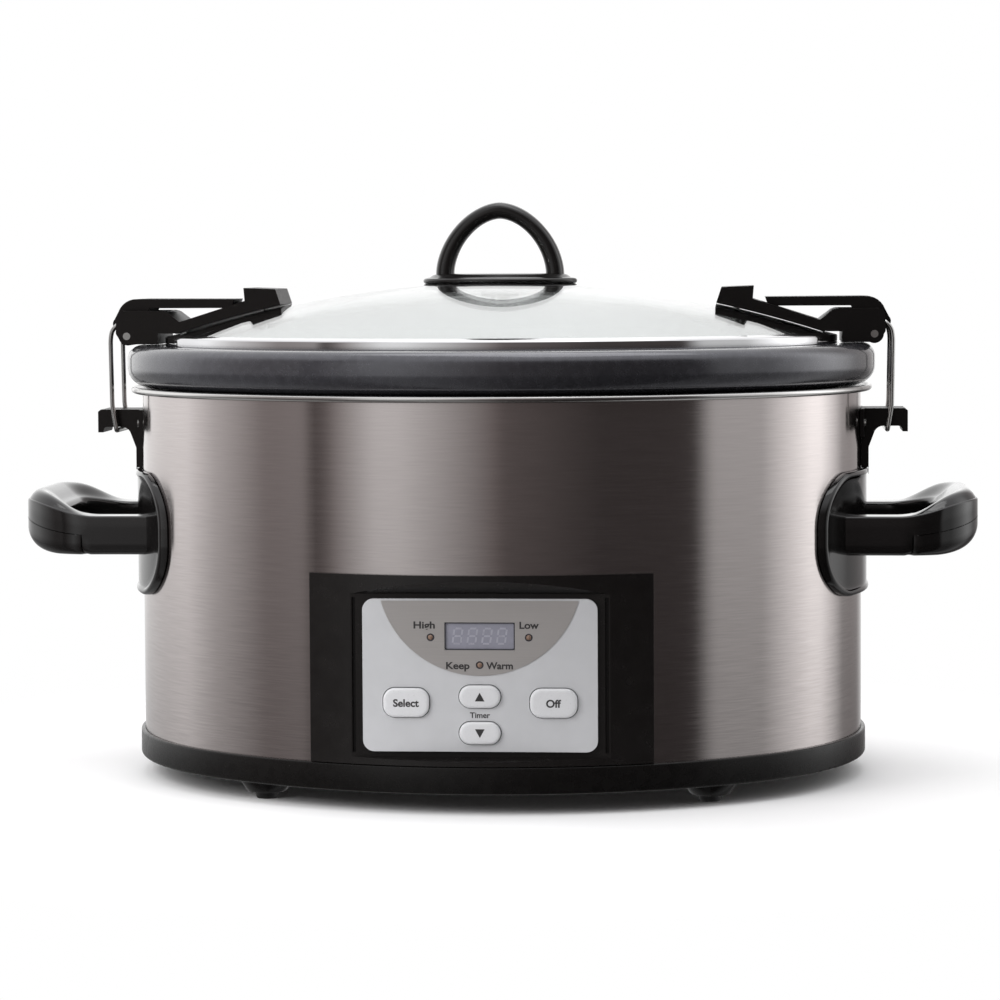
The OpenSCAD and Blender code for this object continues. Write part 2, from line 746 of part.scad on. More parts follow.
module latch_arm() {
    seat_x = latch_screw_x - 8;
    difference() {
        union() {
            // bridge over the dome, the rim band and the stoneware rim
            slab_y(-arm_half_w, arm_half_w) polygon(concat(
                [for (x = [seat_x:8:seat_x + 48]) [x, glass_z(x) + 0.4]],
                [[152.4, glass_z(151) + 0.9], [152.4, 206], [159.6, 206], [159.6, 201], [165.5, 201],
                 [165.5, 213], [158.5, 216.4], [155.5, 216], [149.4, 211.4], [118.5, 221.2],
                 [119, 227.2], [108, 226.8], [104, 226.6], [101.6, 219.4]]
            ));
            // two cheeks carry the pin; the bail works between them
            for (s = [-1, 1]) slab_y(s * (arm_half_w - cheek_t / 2) - cheek_t / 2,
                                     s * (arm_half_w - cheek_t / 2) + cheek_t / 2)
                polygon([[150, 211], [156, 216.2], [158, 216.6], [176.5, 216.6], [178.6, 215.6],
                         [179.4, 213.6], [179.6, 206], [176.6, 201], [159.6, 201], [159.6, 206],
                         [152.4, 206]]);
        }
        translate([pivot_x, 0, pivot_z]) rotate([90, 0, 0])
            cylinder(h = 60, r = pin_r, center = true);
        // channel that the lever's tip lies in, and the screw's blind hole
        translate([122.5, -lever_half_w - 0.6, 217.2]) cube([30, 2 * lever_half_w + 1.2, 10]);
        translate([latch_screw_x, 0, 190]) cylinder(h = 33, r = 1.6);
    }
}

module latch_pin() {
    translate([pivot_x, 0, pivot_z]) rotate([90, 0, 0])
        cylinder(h = 2 * arm_half_w, r = pin_r, center = true);
}

module latch_lever() {
    tip_x = 124.3;
    difference() {
        union() {
            slab_y(-lever_half_w, lever_half_w) polygon(concat(
                [[tip_x + 1.5, 217.8], [tip_x, 222]],
                [[170, 222.2]],
                arc(171, 213, 9.2, 80, 20, 5),
                [[181.6, 212.4], [180.6, 208], [pivot_x + 4, pivot_z], [pivot_x, pivot_z - 3],
                 [pivot_x - 4, pivot_z], [166.8, 213.5], [164.5, 217.8]]
            ));
            translate([pivot_x, 0, pivot_z]) rotate([90, 0, 0])
                cylinder(h = 2 * (arm_half_w - cheek_t - 0.3), r = 4.4, center = true);
            translate([bail_x, 0, bail_z]) rotate([90, 0, 0])
                cylinder(h = 2 * lever_half_w, r = 3, center = true);
        }
        translate([pivot_x, 0, pivot_z]) rotate([90, 0, 0])
            cylinder(h = 60, r = pin_r + 0.05, center = true);
        translate([bail_x, 0, bail_z]) rotate([90, 0, 0])
            cylinder(h = 60, r = wire_d / 2 + 0.1, center = true);
        // hollow underside leaves two ribs
        translate([tip_x + 6, -lever_half_w + 2.2, 210]) cube([34, 2 * lever_half_w - 4.4, 9.8]);
    }
}

module latch_bail() {
    half = bail_w / 2;
    leg = [[bail_x, bail_z], [182.4, 207.4], [183.1, 203], [182.6, 172], [foot_x + 0.4, foot_z + 2.4],
           [foot_x, foot_z]];
    rod([bail_x, -half, bail_z], [bail_x, half, bail_z], wire_d / 2);
    for (s = [-1, 1]) rod_chain([for (p = leg) [p[0], s * half, p[1]]], wire_d / 2);
    rod([foot_x, -half, foot_z], [foot_x, half, foot_z], wire_d / 2);
}

module right_latch_arm() color("#171515") latch_arm();
module left_latch_arm() color("#171515") mirror([1, 0, 0]) latch_arm();
module right_latch_pin() color("#9a9a9a") latch_pin();
module left_latch_pin() color("#9a9a9a") mirror([1, 0, 0]) latch_pin();
module right_latch_lever() color("#1b1919") latch_lever();
module left_latch_lever() color("#1b1919") mirror([1, 0, 0]) latch_lever();
module right_latch_bail() color("#b9bab5") latch_bail();
module left_latch_bail() color("#b9bab5") mirror([1, 0, 0]) latch_bail();

module latch_screws() color("#b0b0b0") {
    z = glass_z(latch_screw_x) - glass_t - 1;
    for (x = [-1, 1]) translate([x * latch_screw_x, 0, z]) screw(1.5, 9, 4, 2);
}

// ---------- assembly ----------

base_pan();
outer_shell();
heating_well();
heater_band();
insulation_blanket();
heat_shield();
sensor_cup();
sensor_spring();
thermal_fuse();
power_board();
control_board();
tact_switches();
display_module();
wiring_harness();
panel_bezel();
faceplate();
display_surround();
display_window();
indicator_lights();
bezel_screws();
base_screws();
rubber_feet();
cord_grommet();
left_handle_plate();
right_handle_plate();
left_handle();
right_handle();
left_handle_cap();
right_handle_cap();
handle_screws();
left_hook_bracket();
right_hook_bracket();
hook_rivets();
select_button();
off_button();
timer_up_button();
timer_down_button();
stoneware_crock();
lid_glass();
lid_rim_band();
lid_gasket();
knob_base();
knob_handle();
knob_washer();
knob_screw();
left_latch_arm();
right_latch_arm();
left_latch_pin();
right_latch_pin();
latch_screws();
left_latch_lever();
right_latch_lever();
left_latch_bail();
right_latch_bail();
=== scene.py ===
"""Looks of an oval programmable slow cooker with a latched glass lid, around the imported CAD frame.

Shapes are written in millimetres in the CAD frame and scaled once, where a mesh is made.
"""

import math

import bmesh
import bpy
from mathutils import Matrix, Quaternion, Vector


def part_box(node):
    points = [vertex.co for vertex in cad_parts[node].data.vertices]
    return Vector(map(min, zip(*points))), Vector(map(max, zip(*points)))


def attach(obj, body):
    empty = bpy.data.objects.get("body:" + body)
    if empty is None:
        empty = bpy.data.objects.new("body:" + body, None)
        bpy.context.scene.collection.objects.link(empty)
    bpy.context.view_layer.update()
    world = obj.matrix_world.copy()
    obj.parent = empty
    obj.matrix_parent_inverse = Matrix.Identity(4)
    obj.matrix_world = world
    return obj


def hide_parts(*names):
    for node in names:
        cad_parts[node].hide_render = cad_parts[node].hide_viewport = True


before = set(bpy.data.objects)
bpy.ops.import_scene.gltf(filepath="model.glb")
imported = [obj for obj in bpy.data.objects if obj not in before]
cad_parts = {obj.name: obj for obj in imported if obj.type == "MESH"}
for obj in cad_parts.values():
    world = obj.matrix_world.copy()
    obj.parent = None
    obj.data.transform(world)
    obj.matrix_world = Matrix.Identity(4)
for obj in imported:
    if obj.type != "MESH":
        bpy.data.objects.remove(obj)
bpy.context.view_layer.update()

MM = 0.001


def span(node):
    """Lowest and highest corner of a CAD node, in millimetres."""
    low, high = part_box(node)
    return low / MM, high / MM


# ---------- driving sizes, read from the frame ----------

SHELL_LOW, SHELL_HIGH = span("outer_shell")
SHELL_A, SHELL_B = SHELL_HIGH.x, SHELL_HIGH.y
END_R = 121.0
SIDE_R = (SHELL_A**2 + SHELL_B**2 - 2 * SHELL_A * END_R) / (2 * (SHELL_B - END_R))
END_C = SHELL_A - END_R
SIDE_C = SIDE_R - SHELL_B
SPLIT = math.atan2(SIDE_C, END_C)

BEZEL_TOP = span("panel_bezel")[1].z
FACE_Y = span("faceplate")[0].y
TRIM_Y = span("display_surround")[0].y
WINDOW_LOW, WINDOW_HIGH = span("display_window")
WELL_TOP = span("heating_well")[1].z
CROCK_LOW, CROCK_HIGH = span("stoneware_crock")
GLASS_HIGH = span("lid_glass")[1]
BAND_LOW, BAND_HIGH = span("lid_rim_band")
KNOB_LOW, KNOB_HIGH = span("knob_base")
ARCH_LOW, ARCH_HIGH = span("knob_handle")
HANDLE_HIGH = span("right_handle")[1]
CAP_LOW = span("right_handle_cap")[0]
PLATE_LOW, PLATE_HIGH = span("right_handle_plate")
BAIL_LOW = span("right_latch_bail")[0]


# ---------- mesh helpers ----------


def settle(elements, place):
    """Puts a mesh's elements in order of their places, which is the same order in every run."""
    in_order = sorted(elements, key=lambda element: tuple(round(c, 6) for c in place(element)))
    rank = {element: i for i, element in enumerate(in_order)}
    elements.sort(key=rank.get)


def build(name, points, faces, body, finish, slot, nodes=(), sharp=38.0, sheet=0.0):
    """A piece from points in millimetres, smooth apart from edges sharper than the given angle.

    An open surface gets the thickness of sheet, inwards."""
    mesh = bpy.data.meshes.new(name)
    mesh.from_pydata([Vector(p) * MM for p in points], [], faces)
    bm = bmesh.new()
    bm.from_mesh(mesh)
    bmesh.ops.remove_doubles(bm, verts=bm.verts, dist=1e-7)
    bmesh.ops.dissolve_degenerate(bm, edges=bm.edges, dist=1e-7)
    if sheet:
        bmesh.ops.solidify(bm, geom=bm.faces[:], thickness=sheet * MM)
        # Solidify adds the rim's elements in no fixed order
        settle(bm.verts, lambda vert: vert.co)
        settle(bm.faces, lambda face: face.calc_center_median())
    bmesh.ops.recalc_face_normals(bm, faces=bm.faces)
    bm.to_mesh(mesh)
    bm.free()
    mesh.shade_smooth()
    mesh.set_sharp_from_angle(angle=math.radians(sharp))
    mesh.materials.append(finish)
    obj = bpy.data.objects.new(name, mesh)
    bpy.context.scene.collection.objects.link(obj)
    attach(obj, body)
    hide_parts(*nodes)
    return obj


def merge(parts):
    """Several (points, faces) pairs as one."""
    points, faces = [], []
    for part_points, part_faces in parts:
        start = len(points)
        points += part_points
        faces += [tuple(start + i for i in face) for face in part_faces]
    return points, faces


def grid(rows, loop_rows=False, caps=(False, False), skip=None):
    """Quads between rows of equal length, each row a closed ring; a cap is a fan round the ring's middle."""
    n = len(rows[0])
    points = [Vector(p) for row in rows for p in row]
    faces = []
    for i in range(len(rows) if loop_rows else len(rows) - 1):
        k = (i + 1) % len(rows)
        for j in range(n):
            m = (j + 1) % n
            if not (skip and skip(rows[i][j], rows[i][m], rows[k][j])):
                faces.append((i * n + j, i * n + m, k * n + m, k * n + j))
    for wanted, row in zip(caps, (0, len(rows) - 1)):
        if wanted:
            points.append(sum((Vector(p) for p in rows[row]), Vector()) / n)
            middle = len(points) - 1
            faces += [(row * n + j, row * n + (j + 1) % n, middle) for j in range(n)]
    return points, faces


def arc(cx, cy, r, a0, a1, n=8):
    """Points of an arc from angle a0 to a1, in degrees."""
    angles = [math.radians(a0 + (a1 - a0) * i / n) for i in range(n + 1)]
    return [(cx + r * math.cos(a), cy + r * math.sin(a)) for a in angles]


def ease(t):
    t = min(1.0, max(0.0, t))
    return t * t * (3 - 2 * t)


OPENING_X = 73.0
OPENING_Z = BEZEL_TOP - 2
GLAND_X = 6.0
GLAND_Z = (28.0, 40.0)


def oval_stations():
    """(centre X, centre Y, normal's angle, radius) round the oval, with stations on the openings' edges."""
    arcs = [
        (END_C, 0, END_R, -SPLIT, SPLIT, []),
        (0, -SIDE_C, SIDE_R, SPLIT, math.pi - SPLIT, [GLAND_X, -GLAND_X]),
        (-END_C, 0, END_R, math.pi - SPLIT, math.pi + SPLIT, []),
        (0, SIDE_C, SIDE_R, math.pi + SPLIT, 2 * math.pi - SPLIT, [-OPENING_X, OPENING_X]),
    ]
    found = []
    for cx, cy, r, a0, a1, marks in arcs:
        steps = round(math.degrees(a1 - a0) / 1.6)
        angles = [a0 + (a1 - a0) * i / steps for i in range(steps)]
        turn = 1 if cy < 0 else -1
        angles += [turn * math.acos(x / r) % (2 * math.pi) for x in marks]
        found += [(cx, cy, a, r) for a in sorted(angles)]
    return found


STATIONS = oval_stations()


def oval_row(u, z, scale=1.0):
    """A ring of the oval offset by u from the shell, at height z."""
    return [
        (
            scale * (cx + (r + u) * math.cos(a)),
            scale * (cy + (r + u) * math.sin(a)),
            z,
        )
        for cx, cy, a, r in STATIONS
    ]


def oval_ring(profile, caps=(False, False)):
    """Sweeps a profile of (offset, height) round the oval; closed unless it ends in caps."""
    rows = [oval_row(u, z) for u, z in profile]
    return grid(rows, loop_rows=not any(caps), caps=caps)


def super_section(n, power):
    """Points of a superellipse in the unit square, as (across, up) from 0 to 1."""
    section = []
    for i in range(n):
        c, s = math.cos(2 * math.pi * i / n), math.sin(2 * math.pi * i / n)
        across = math.copysign(abs(c) ** (2 / power), c)
        up = math.copysign(abs(s) ** (2 / power), s)
        section.append(((1 + across) / 2, (1 + up) / 2))
    return section


def rounded(points, radius, steps=6):
    """A closed path with its corners rounded."""
    path = []
    for i, corner in enumerate(points):
        before, after = Vector(points[i - 1]), Vector(points[(i + 1) % len(points)])
        corner = Vector(corner)
        r = min(radius, 0.45 * (before - corner).length, 0.45 * (after - corner).length)
        start = corner + (before - corner).normalized() * r
        end = corner + (after - corner).normalized() * r
        for k in range(steps + 1):
            t = k / steps
            path.append(start * (1 - t) ** 2 + corner * 2 * t * (1 - t) + end * t * t)
    return path


def loop_tube(path, radius, sides=14):
    """A round wire along a closed path that never runs along X."""
    rows = []
    for i, p in enumerate(path):
        along = (path[(i + 1) % len(path)] - path[i - 1]).normalized()
        side = Vector((1, 0, 0))
        side = (side - along * side.dot(along)).normalized()
        up = along.cross(side)
        turns = [2 * math.pi * k / sides for k in range(sides)]
        rows.append([p + radius * (side * math.cos(t) + up * math.sin(t)) for t in turns])
    return grid(rows, loop_rows=True)


def round_rect(w, h, r, steps=8):
    """Outline of a rounded rectangle about the origin."""
    outline = []
    for sx, sz, a in ((1, 1, 0), (-1, 1, 90), (-1, -1, 180), (1, -1, 270)):
        outline += arc(sx * (w / 2 - r), sz * (h / 2 - r), r, a, a + 90, steps)
    return outline


def slab(outline_at, rows, x, z):
    """A plate facing -Y: outline_at(inset) gives its outline, and rows lists (inset, y)."""
    rings = [[(x + px, y, z + pz) for px, pz in outline_at(inset)] for inset, y in rows]
    return grid(rings, caps=(True, True))


def prism(outline, y0, y1):
    """A flat shape of the front face, between two depths."""
    return grid([[(x, y0, z) for x, z in outline], [(x, y1, z) for x, z in outline]], caps=(True, True))


def mirrored(part, side):
    points, faces = part
    return [(side * p[0], p[1], p[2]) for p in points], faces


# ---------- materials ----------


def material(
    name, colour, rough, cells=(60, 60, 60), tone=0.12, rough_span=0.06, bump=0.0,
    relief=0.0002, fleck=None, **sockets,
):
    """Principled surface whose colour, roughness and relief follow a noise of so many cells a metre."""
    made = bpy.data.materials.new(name)
    made.use_nodes = True
    nodes, link = made.node_tree.nodes, made.node_tree.links.new
    shader = nodes["Principled BSDF"]
    for socket, value in sockets.items():
        shader.inputs[socket.replace("_", " ")].default_value = value
    place = nodes.new("ShaderNodeTexCoord")
    mapping = nodes.new("ShaderNodeMapping")
    mapping.inputs["Scale"].default_value = cells
    noise = nodes.new("ShaderNodeTexNoise")
    noise.inputs["Scale"].default_value = 1.0
    noise.inputs["Detail"].default_value = 4.0
    noise.inputs["Roughness"].default_value = 0.55
    link(place.outputs["Object"], mapping.inputs["Vector"])
    link(mapping.outputs["Vector"], noise.inputs["Vector"])
    ramp = nodes.new("ShaderNodeValToRGB")
    for stop, at, gain in zip(ramp.color_ramp.elements, (0.3, 0.7), (1 - tone, 1 + tone)):
        stop.position = at
        stop.color = [min(1.0, c * gain) for c in colour] + [1.0]
    link(noise.outputs["Fac"], ramp.inputs["Fac"])
    base = ramp.outputs["Color"]
    if fleck:
        fleck_cells, fleck_colour, share = fleck
        dots = nodes.new("ShaderNodeTexVoronoi")
        dots.inputs["Scale"].default_value = fleck_cells
        link(place.outputs["Object"], dots.inputs["Vector"])
        mask = nodes.new("ShaderNodeMapRange")
        mask.inputs["From Min"].default_value = share
        mask.inputs["From Max"].default_value = share * 0.4
        link(dots.outputs["Distance"], mask.inputs["Value"])
        mix = nodes.new("ShaderNodeMix")
        mix.data_type = "RGBA"
        mix.inputs["B"].default_value = (*fleck_colour, 1.0)
        link(mask.outputs["Result"], mix.inputs["Factor"])
        link(base, mix.inputs["A"])
        base = mix.outputs["Result"]
    link(base, shader.inputs["Base Color"])
    spread = nodes.new("ShaderNodeMapRange")
    spread.inputs["From Min"].default_value = 0.3
    spread.inputs["From Max"].default_value = 0.7
    spread.inputs["To Min"].default_value = max(0.0, rough - rough_span)
    spread.inputs["To Max"].default_value = rough + rough_span
    link(noise.outputs["Fac"], spread.inputs["Value"])
    link(spread.outputs["Result"], shader.inputs["Roughness"])
    if bump:
        dent = nodes.new("ShaderNodeBump")
        dent.inputs["Strength"].default_value = bump
        dent.inputs["Distance"].default_value = relief
        link(noise.outputs["Fac"], dent.inputs["Height"])
        link(dent.outputs["Normal"], shader.inputs["Normal"])
    return made


def brush_upright(finish):
    """Stretches a brushed metal's highlights straight up, across its horizontal brushing."""
    nodes, link = finish.node_tree.nodes, finish.node_tree.links.new
    tangent = nodes.new("ShaderNodeTangent")
    tangent.direction_type = "RADIAL"
    tangent.axis = "Z"
    shader = nodes["Principled BSDF"]
    shader.inputs["Anisotropic Rotation"].default_value = 0.25
    link(tangent.outputs["Tangent"], shader.inputs["Tangent"])
    return finish


M = {
    "shell_steel": brush_upright(material(
        "shell_steel", (0.56, 0.515, 0.505), 0.17, (60, 60, 1800), 0.055, 0.025, 0.04, 0.00002,
        Metallic=1.0, Anisotropic=0.9,
    )),
    "bright_steel": material(
        "bright_steel", (0.62, 0.61, 0.60), 0.2, (30, 30, 700), 0.06, 0.06, 0.05, 0.00003, Metallic=1.0
    ),
    "polished_rim": material(
        "polished_rim", (0.66, 0.66, 0.67), 0.09, (25, 25, 120), 0.05, 0.04, 0.03, 0.00003, Metallic=1.0
    ),
    "steel_wire": material(
        "steel_wire", (0.46, 0.46, 0.45), 0.24, (150, 150, 60), 0.1, 0.08, Metallic=1.0
    ),
    "gloss_black": material(
        "gloss_black", (0.0065, 0.006, 0.006), 0.12, (55, 55, 55), 0.2, 0.05, 0.03, 0.0001,
        Specular_IOR_Level=0.4, Coat_Weight=0.25, Coat_Roughness=0.05,
    ),
    "knob_black": material(
        "knob_black", (0.0075, 0.0068, 0.0065), 0.2, (80, 80, 80), 0.2, 0.05, 0.03, 0.0001,
        Specular_IOR_Level=0.35, Coat_Weight=0.2, Coat_Roughness=0.08,
    ),
    "satin_black": material(
        "satin_black", (0.0075, 0.0063, 0.006), 0.38, (900, 900, 900), 0.15, 0.05, 0.05, 0.00002,
        Specular_IOR_Level=0.17,
    ),
    "bezel_plastic": material(
        "bezel_plastic", (0.0085, 0.0075, 0.0072), 0.24, (160, 160, 160), 0.1, 0.04, 0.02, 0.00002,
        Specular_IOR_Level=0.3,
    ),
    "skirt_plastic": material(
        "skirt_plastic", (0.005, 0.0045, 0.0043), 0.27, (200, 200, 200), 0.12, 0.05, 0.03, 0.00002,
        Specular_IOR_Level=0.22,
    ),
    "stoneware_glaze": material(
        "stoneware_glaze", (0.070, 0.070, 0.080), 0.26, (260, 260, 260), 0.14, 0.04, 0.03, 0.00005,
        fleck=(5200, (0.15, 0.15, 0.175), 0.22), Metallic=0.7, Coat_Weight=0.7, Coat_Roughness=0.05,
    ),
    "silver_face": material(
        "silver_face", (0.53, 0.535, 0.55), 0.36, (90, 90, 90), 0.025, 0.05, 0.02, 0.00004, Metallic=0.1
    ),
    "silver_button": material(
        "silver_button", (0.66, 0.665, 0.68), 0.3, (1500, 1500, 1500), 0.01, 0.03, Metallic=0.1,
        Coat_Weight=0.3, Coat_Roughness=0.15,
    ),
    "brushed_trim": material(
        "brushed_trim", (0.41, 0.39, 0.38), 0.34, (30, 30, 5200), 0.06, 0.05, 0.04, 0.00001,
        Metallic=0.45, Anisotropic=0.5,
    ),
    "window_glass": material(
        "window_glass", (0.235, 0.235, 0.28), 0.12, (200, 200, 200), 0.06, 0.03,
        Coat_Weight=0.5, Coat_Roughness=0.03,
    ),
    # Near-black of the lamps' rings; on the display window's rim it paints the shade of the window's recess
    "lamp_rim_and_window_shade": material("lamp_rim_and_window_shade", (0.035, 0.035, 0.042), 0.35, (400, 400, 400), 0.15, 0.05),
    "digit": material("digit", (0.30, 0.30, 0.35), 0.3, (400, 400, 400), 0.08, 0.05),
    "print_ink": material("print_ink", (0.035, 0.033, 0.034), 0.4, (2000, 2000, 2000), 0.2, 0.06),
    "lamp_lens": material(
        "lamp_lens", (0.20, 0.13, 0.095), 0.12, (1500, 1500, 1500), 0.3, 0.05,
        Coat_Weight=0.8, Coat_Roughness=0.02,
    ),
    "foot_rubber": material("foot_rubber", (0.011, 0.011, 0.011), 0.6, (500, 500, 500), 0.2, 0.08, 0.1),
    "gasket_rubber": material("gasket_rubber", (0.05, 0.05, 0.05), 0.5, (300, 300, 300), 0.15, 0.08, 0.05),
    "mica_heater": material(
        "mica_heater", (0.55, 0.5, 0.42), 0.35, (60, 60, 300), 0.14, 0.1, 0.2, Metallic=0.6
    ),
    "fibre_blanket": material(
        "fibre_blanket", (0.78, 0.74, 0.64), 0.95, (260, 260, 40), 0.12, 0.04, 0.6, 0.0008
    ),
    "aluminium_sheet": material(
        "aluminium_sheet", (0.72, 0.72, 0.72), 0.32, (300, 12, 300), 0.06, 0.08, 0.05, Metallic=1.0
    ),
    "brass": material("brass", (0.62, 0.48, 0.22), 0.28, (200, 200, 200), 0.1, 0.08, Metallic=1.0),
    "fuse_ceramic": material("fuse_ceramic", (0.78, 0.74, 0.66), 0.4, (500, 500, 500), 0.08, 0.1),
    "board_green": material(
        "board_green", (0.045, 0.19, 0.075), 0.3, (140, 140, 140), 0.25, 0.08, 0.1, 0.0001,
        fleck=(260, (0.62, 0.6, 0.5), 0.16),
    ),
    "dark_plastic": material("dark_plastic", (0.03, 0.03, 0.03), 0.4, (500, 500, 500), 0.15, 0.08, 0.05),
    "white_plastic": material("white_plastic", (0.78, 0.78, 0.76), 0.4, (300, 300, 300), 0.05, 0.08),
    "lid_glass": material(
        "lid_glass", (0.955, 0.975, 0.97), 0.012, (18, 18, 18), 0.012, 0.01,
        Transmission_Weight=1.0, IOR=1.5,
    ),
    "wire_insulation": material("wire_insulation", (0.42, 0.03, 0.03), 0.45, (120, 120, 120), 0.15, 0.08),
}


def pale_floor():
    """Matt floor that fades into the backdrop."""
    made = material("pale_floor", (0.98, 0.98, 0.98), 0.7, (6, 6, 6), 0.01, 0.05)
    nodes, link = made.node_tree.nodes, made.node_tree.links.new
    place = nodes.new("ShaderNodeTexCoord")
    reach = nodes.new("ShaderNodeVectorMath")
    reach.operation = "LENGTH"
    fade = nodes.new("ShaderNodeMapRange")
    fade.interpolation_type = "SMOOTHSTEP"
    fade.inputs["From Min"].default_value = FLOOR_FADE[0]
    fade.inputs["From Max"].default_value = FLOOR_FADE[1]
    fade.inputs["To Min"].default_value = 1.0
    fade.inputs["To Max"].default_value = 0.0
    link(place.outputs["Object"], reach.inputs[0])
    link(reach.outputs["Value"], fade.inputs["Value"])
    link(fade.outputs["Result"], nodes["Principled BSDF"].inputs["Alpha"])
    return made


# ---------- housing ----------


def make_shell():
    """Steel wrap in one thin sheet, open for the panel and for the lead's gland."""
    def inside(p, q, above):
        in_panel = p[1] < 0 and abs(p[0]) <= OPENING_X + 0.1 and abs(q[0]) <= OPENING_X + 0.1
        in_gland = p[1] > 0 and abs(p[0]) <= GLAND_X + 0.1 and abs(q[0]) <= GLAND_X + 0.1
        low, high = min(p[2], above[2]), max(p[2], above[2])
        return (in_panel and high <= OPENING_Z + 0.1) or (
            in_gland and low >= GLAND_Z[0] - 0.1 and high <= GLAND_Z[1] + 0.1
        )

    heights = (SHELL_LOW.z, *GLAND_Z, OPENING_Z, SHELL_HIGH.z)
    points, faces = grid([oval_row(0, z) for z in heights], skip=inside)
    build(
        "shell_wrap", points, faces, "base", M["shell_steel"], "shell_steel", ["outer_shell"], sheet=1.0
    )


def make_well():
    """Heating well with its rolled rim."""
    rim_z = WELL_TOP - 1.5
    profile = [
        (-30.0, 52), *arc(-42, 52, 12, 0, -90)[1:], (-46, 40), (-46, 39), *arc(-42, 52, 13, -90, 0)[1:],
        (-11.2, rim_z - 4), (-11.0, rim_z - 1.6), (-10.0, rim_z - 0.7), (2.2, rim_z - 0.7),
        *arc(3.5, rim_z, 1.5, -150, 150, 16), (2.0, rim_z + 0.6), (-10.6, rim_z + 0.6),
        *arc(-10.6, rim_z - 0.8, 1.4, 90, 180, 4), (-12, rim_z - 4),
    ]
    wall = oval_ring(profile)
    hole = [(9 * math.cos(a), 9 * math.sin(a)) for _, _, a, _ in STATIONS]
    floor = grid([
        oval_row(-45.5, 39), oval_row(-45.5, 40),
        [(x, y, 40) for x, y in hole], [(x, y, 39) for x, y in hole],
    ], loop_rows=True)
    points, faces = merge([wall, floor])
    build("well_liner", points, faces, "base", M["bright_steel"], "bright_steel", ["heating_well"])


SKIRT_LOW, SKIRT_HIGH = 9.0, 21.0


def make_skirt():
    """Moulded skirt and floor of the housing, with vents and bosses."""
    low, high = SKIRT_LOW, SKIRT_HIGH
    profile = [
        (-4, low), *arc(0.6, low + 1.4, 1.4, -90, 0, 5), *arc(1.2, high - 0.8, 0.8, 0, 90, 5),
        (0.2, high), (0.2, high - 2.2), (-4, high - 2.2),
    ]
    parts = [oval_ring(profile)]
    parts.append(grid([oval_row(-3.5, low + 0.05), oval_row(-3.5, low + 3)], caps=(True, True)))
    foot_high = span("rubber_feet")[1]
    for sx in (-1, 1):
        for sy in (-1, 1):
            x, y = sx * (foot_high.x - 5), sy * (foot_high.y - 5)
            rows = [(7.9, 3.5), (8.4, 3.2), (9.0, 3.6), (12.5, low + 0.1), (12.5, low + 1)]
            parts.append(grid([ring_xy(x, y, r, z) for r, z in rows], caps=(True, True)))
    for x in range(-50, 51, 20):
        outline = [(x - 2, -28), (x + 2, -28), (x + 2, 28), (x - 2, 28)]
        rim = [(x - 3, -29), (x + 3, -29), (x + 3, 29), (x - 3, 29)]
        parts.append(grid([
            [(px, py, low + 0.1) for px, py in rim], [(px, py, low - 0.35) for px, py in rim],
            [(px, py, low - 0.35) for px, py in outline], [(px, py, low + 0.1) for px, py in outline],
        ]))
    points, faces = merge(parts)
    build("skirt_moulding", points, faces, "base", M["skirt_plastic"], "skirt_plastic", ["base_pan"])


def ring_xy(x, y, r, z, n=40):
    turns = [2 * math.pi * k / n for k in range(n)]
    return [(x + r * math.cos(t), y + r * math.sin(t), z) for t in turns]


# ---------- stoneware and lid ----------


def make_crock():
    top, out = CROCK_HIGH.z, CROCK_HIGH.x - SHELL_A
    floor, seat = CROCK_LOW.z, top - 19.5
    profile = [
        (-47, floor), *arc(-47, floor + 14, 14, -90, 0)[1:], (-15, seat - 3), (-14.4, seat - 1),
        (-13, seat), (-3, seat), *arc(out - 9, seat + 9.4, 9, -70, 0, 14),
        *arc(out - 6, top - 6, 6, 0, 90, 14), (-7.5, top), *arc(-8.5, top - 2, 2, 90, 180, 6),
        (-10.5, top - 4.6), (-11.1, top - 4), (-20.7, top - 4), *arc(-20.7, top - 5.5, 1.5, 90, 180, 5)[1:],
        (-22.2, top - 10), *arc(-52.2, floor + 21, 12, 0, -90),
    ]
    points, faces = oval_ring(profile, caps=(True, True))
    build(
        "stoneware_pot", points, faces, "crock", M["stoneware_glaze"], "stoneware_glaze",
        ["stoneware_crock"],
    )


GLASS_U = GLASS_HIGH.x - SHELL_A
GLASS_RISE = 26.5
GLASS_T = 4.0


def glass_height(share):
    return GLASS_HIGH.z - GLASS_RISE * share * share


def make_glass():
    """Domed glass: rings of the oval shrinking to the apex, above and below, with a ground edge."""
    shares = [1 - (i / 26) for i in range(26)]
    upper = [oval_row(GLASS_U, glass_height(s), s) for s in [0.994, *shares[1:]]]
    lower = [oval_row(GLASS_U, glass_height(s) - GLASS_T, s) for s in [0.994, *shares[1:]]]
    edge = [oval_row(GLASS_U, glass_height(1) - d) for d in (0.9, 2.0, 3.1)]
    rows = upper[::-1] + edge + lower
    points, faces = grid(rows, caps=(True, True))
    build("lid_dome", points, faces, "lid", M["lid_glass"], "lid_glass", ["lid_glass"], sharp=50)


def make_rim_band():
    """Rolled steel band that grips the glass."""
    low, out = BAND_LOW.z, BAND_HIGH.x - SHELL_A
    edge = glass_height(1)
    profile = [
        (out - 5, low), (out - 0.5, low), *arc(out - 0.5, low + 0.5, 0.5, -90, 0, 3)[1:],
        *arc(out - 0.9, edge + 0.3, 0.9, 0, 75, 6), (out - 3.2, BAND_HIGH.z - 0.45),
        (out - 5.4, BAND_HIGH.z), (out - 5.6, BAND_HIGH.z - 0.35),
        (GLASS_U + 0.05, edge + 0.15), (GLASS_U + 0.05, edge - GLASS_T - 0.05),
        (out - 5, edge - GLASS_T - 0.05),
    ]
    points, faces = oval_ring(profile)
    build("rim_band", points, faces, "lid", M["polished_rim"], "polished_rim", ["lid_rim_band"])


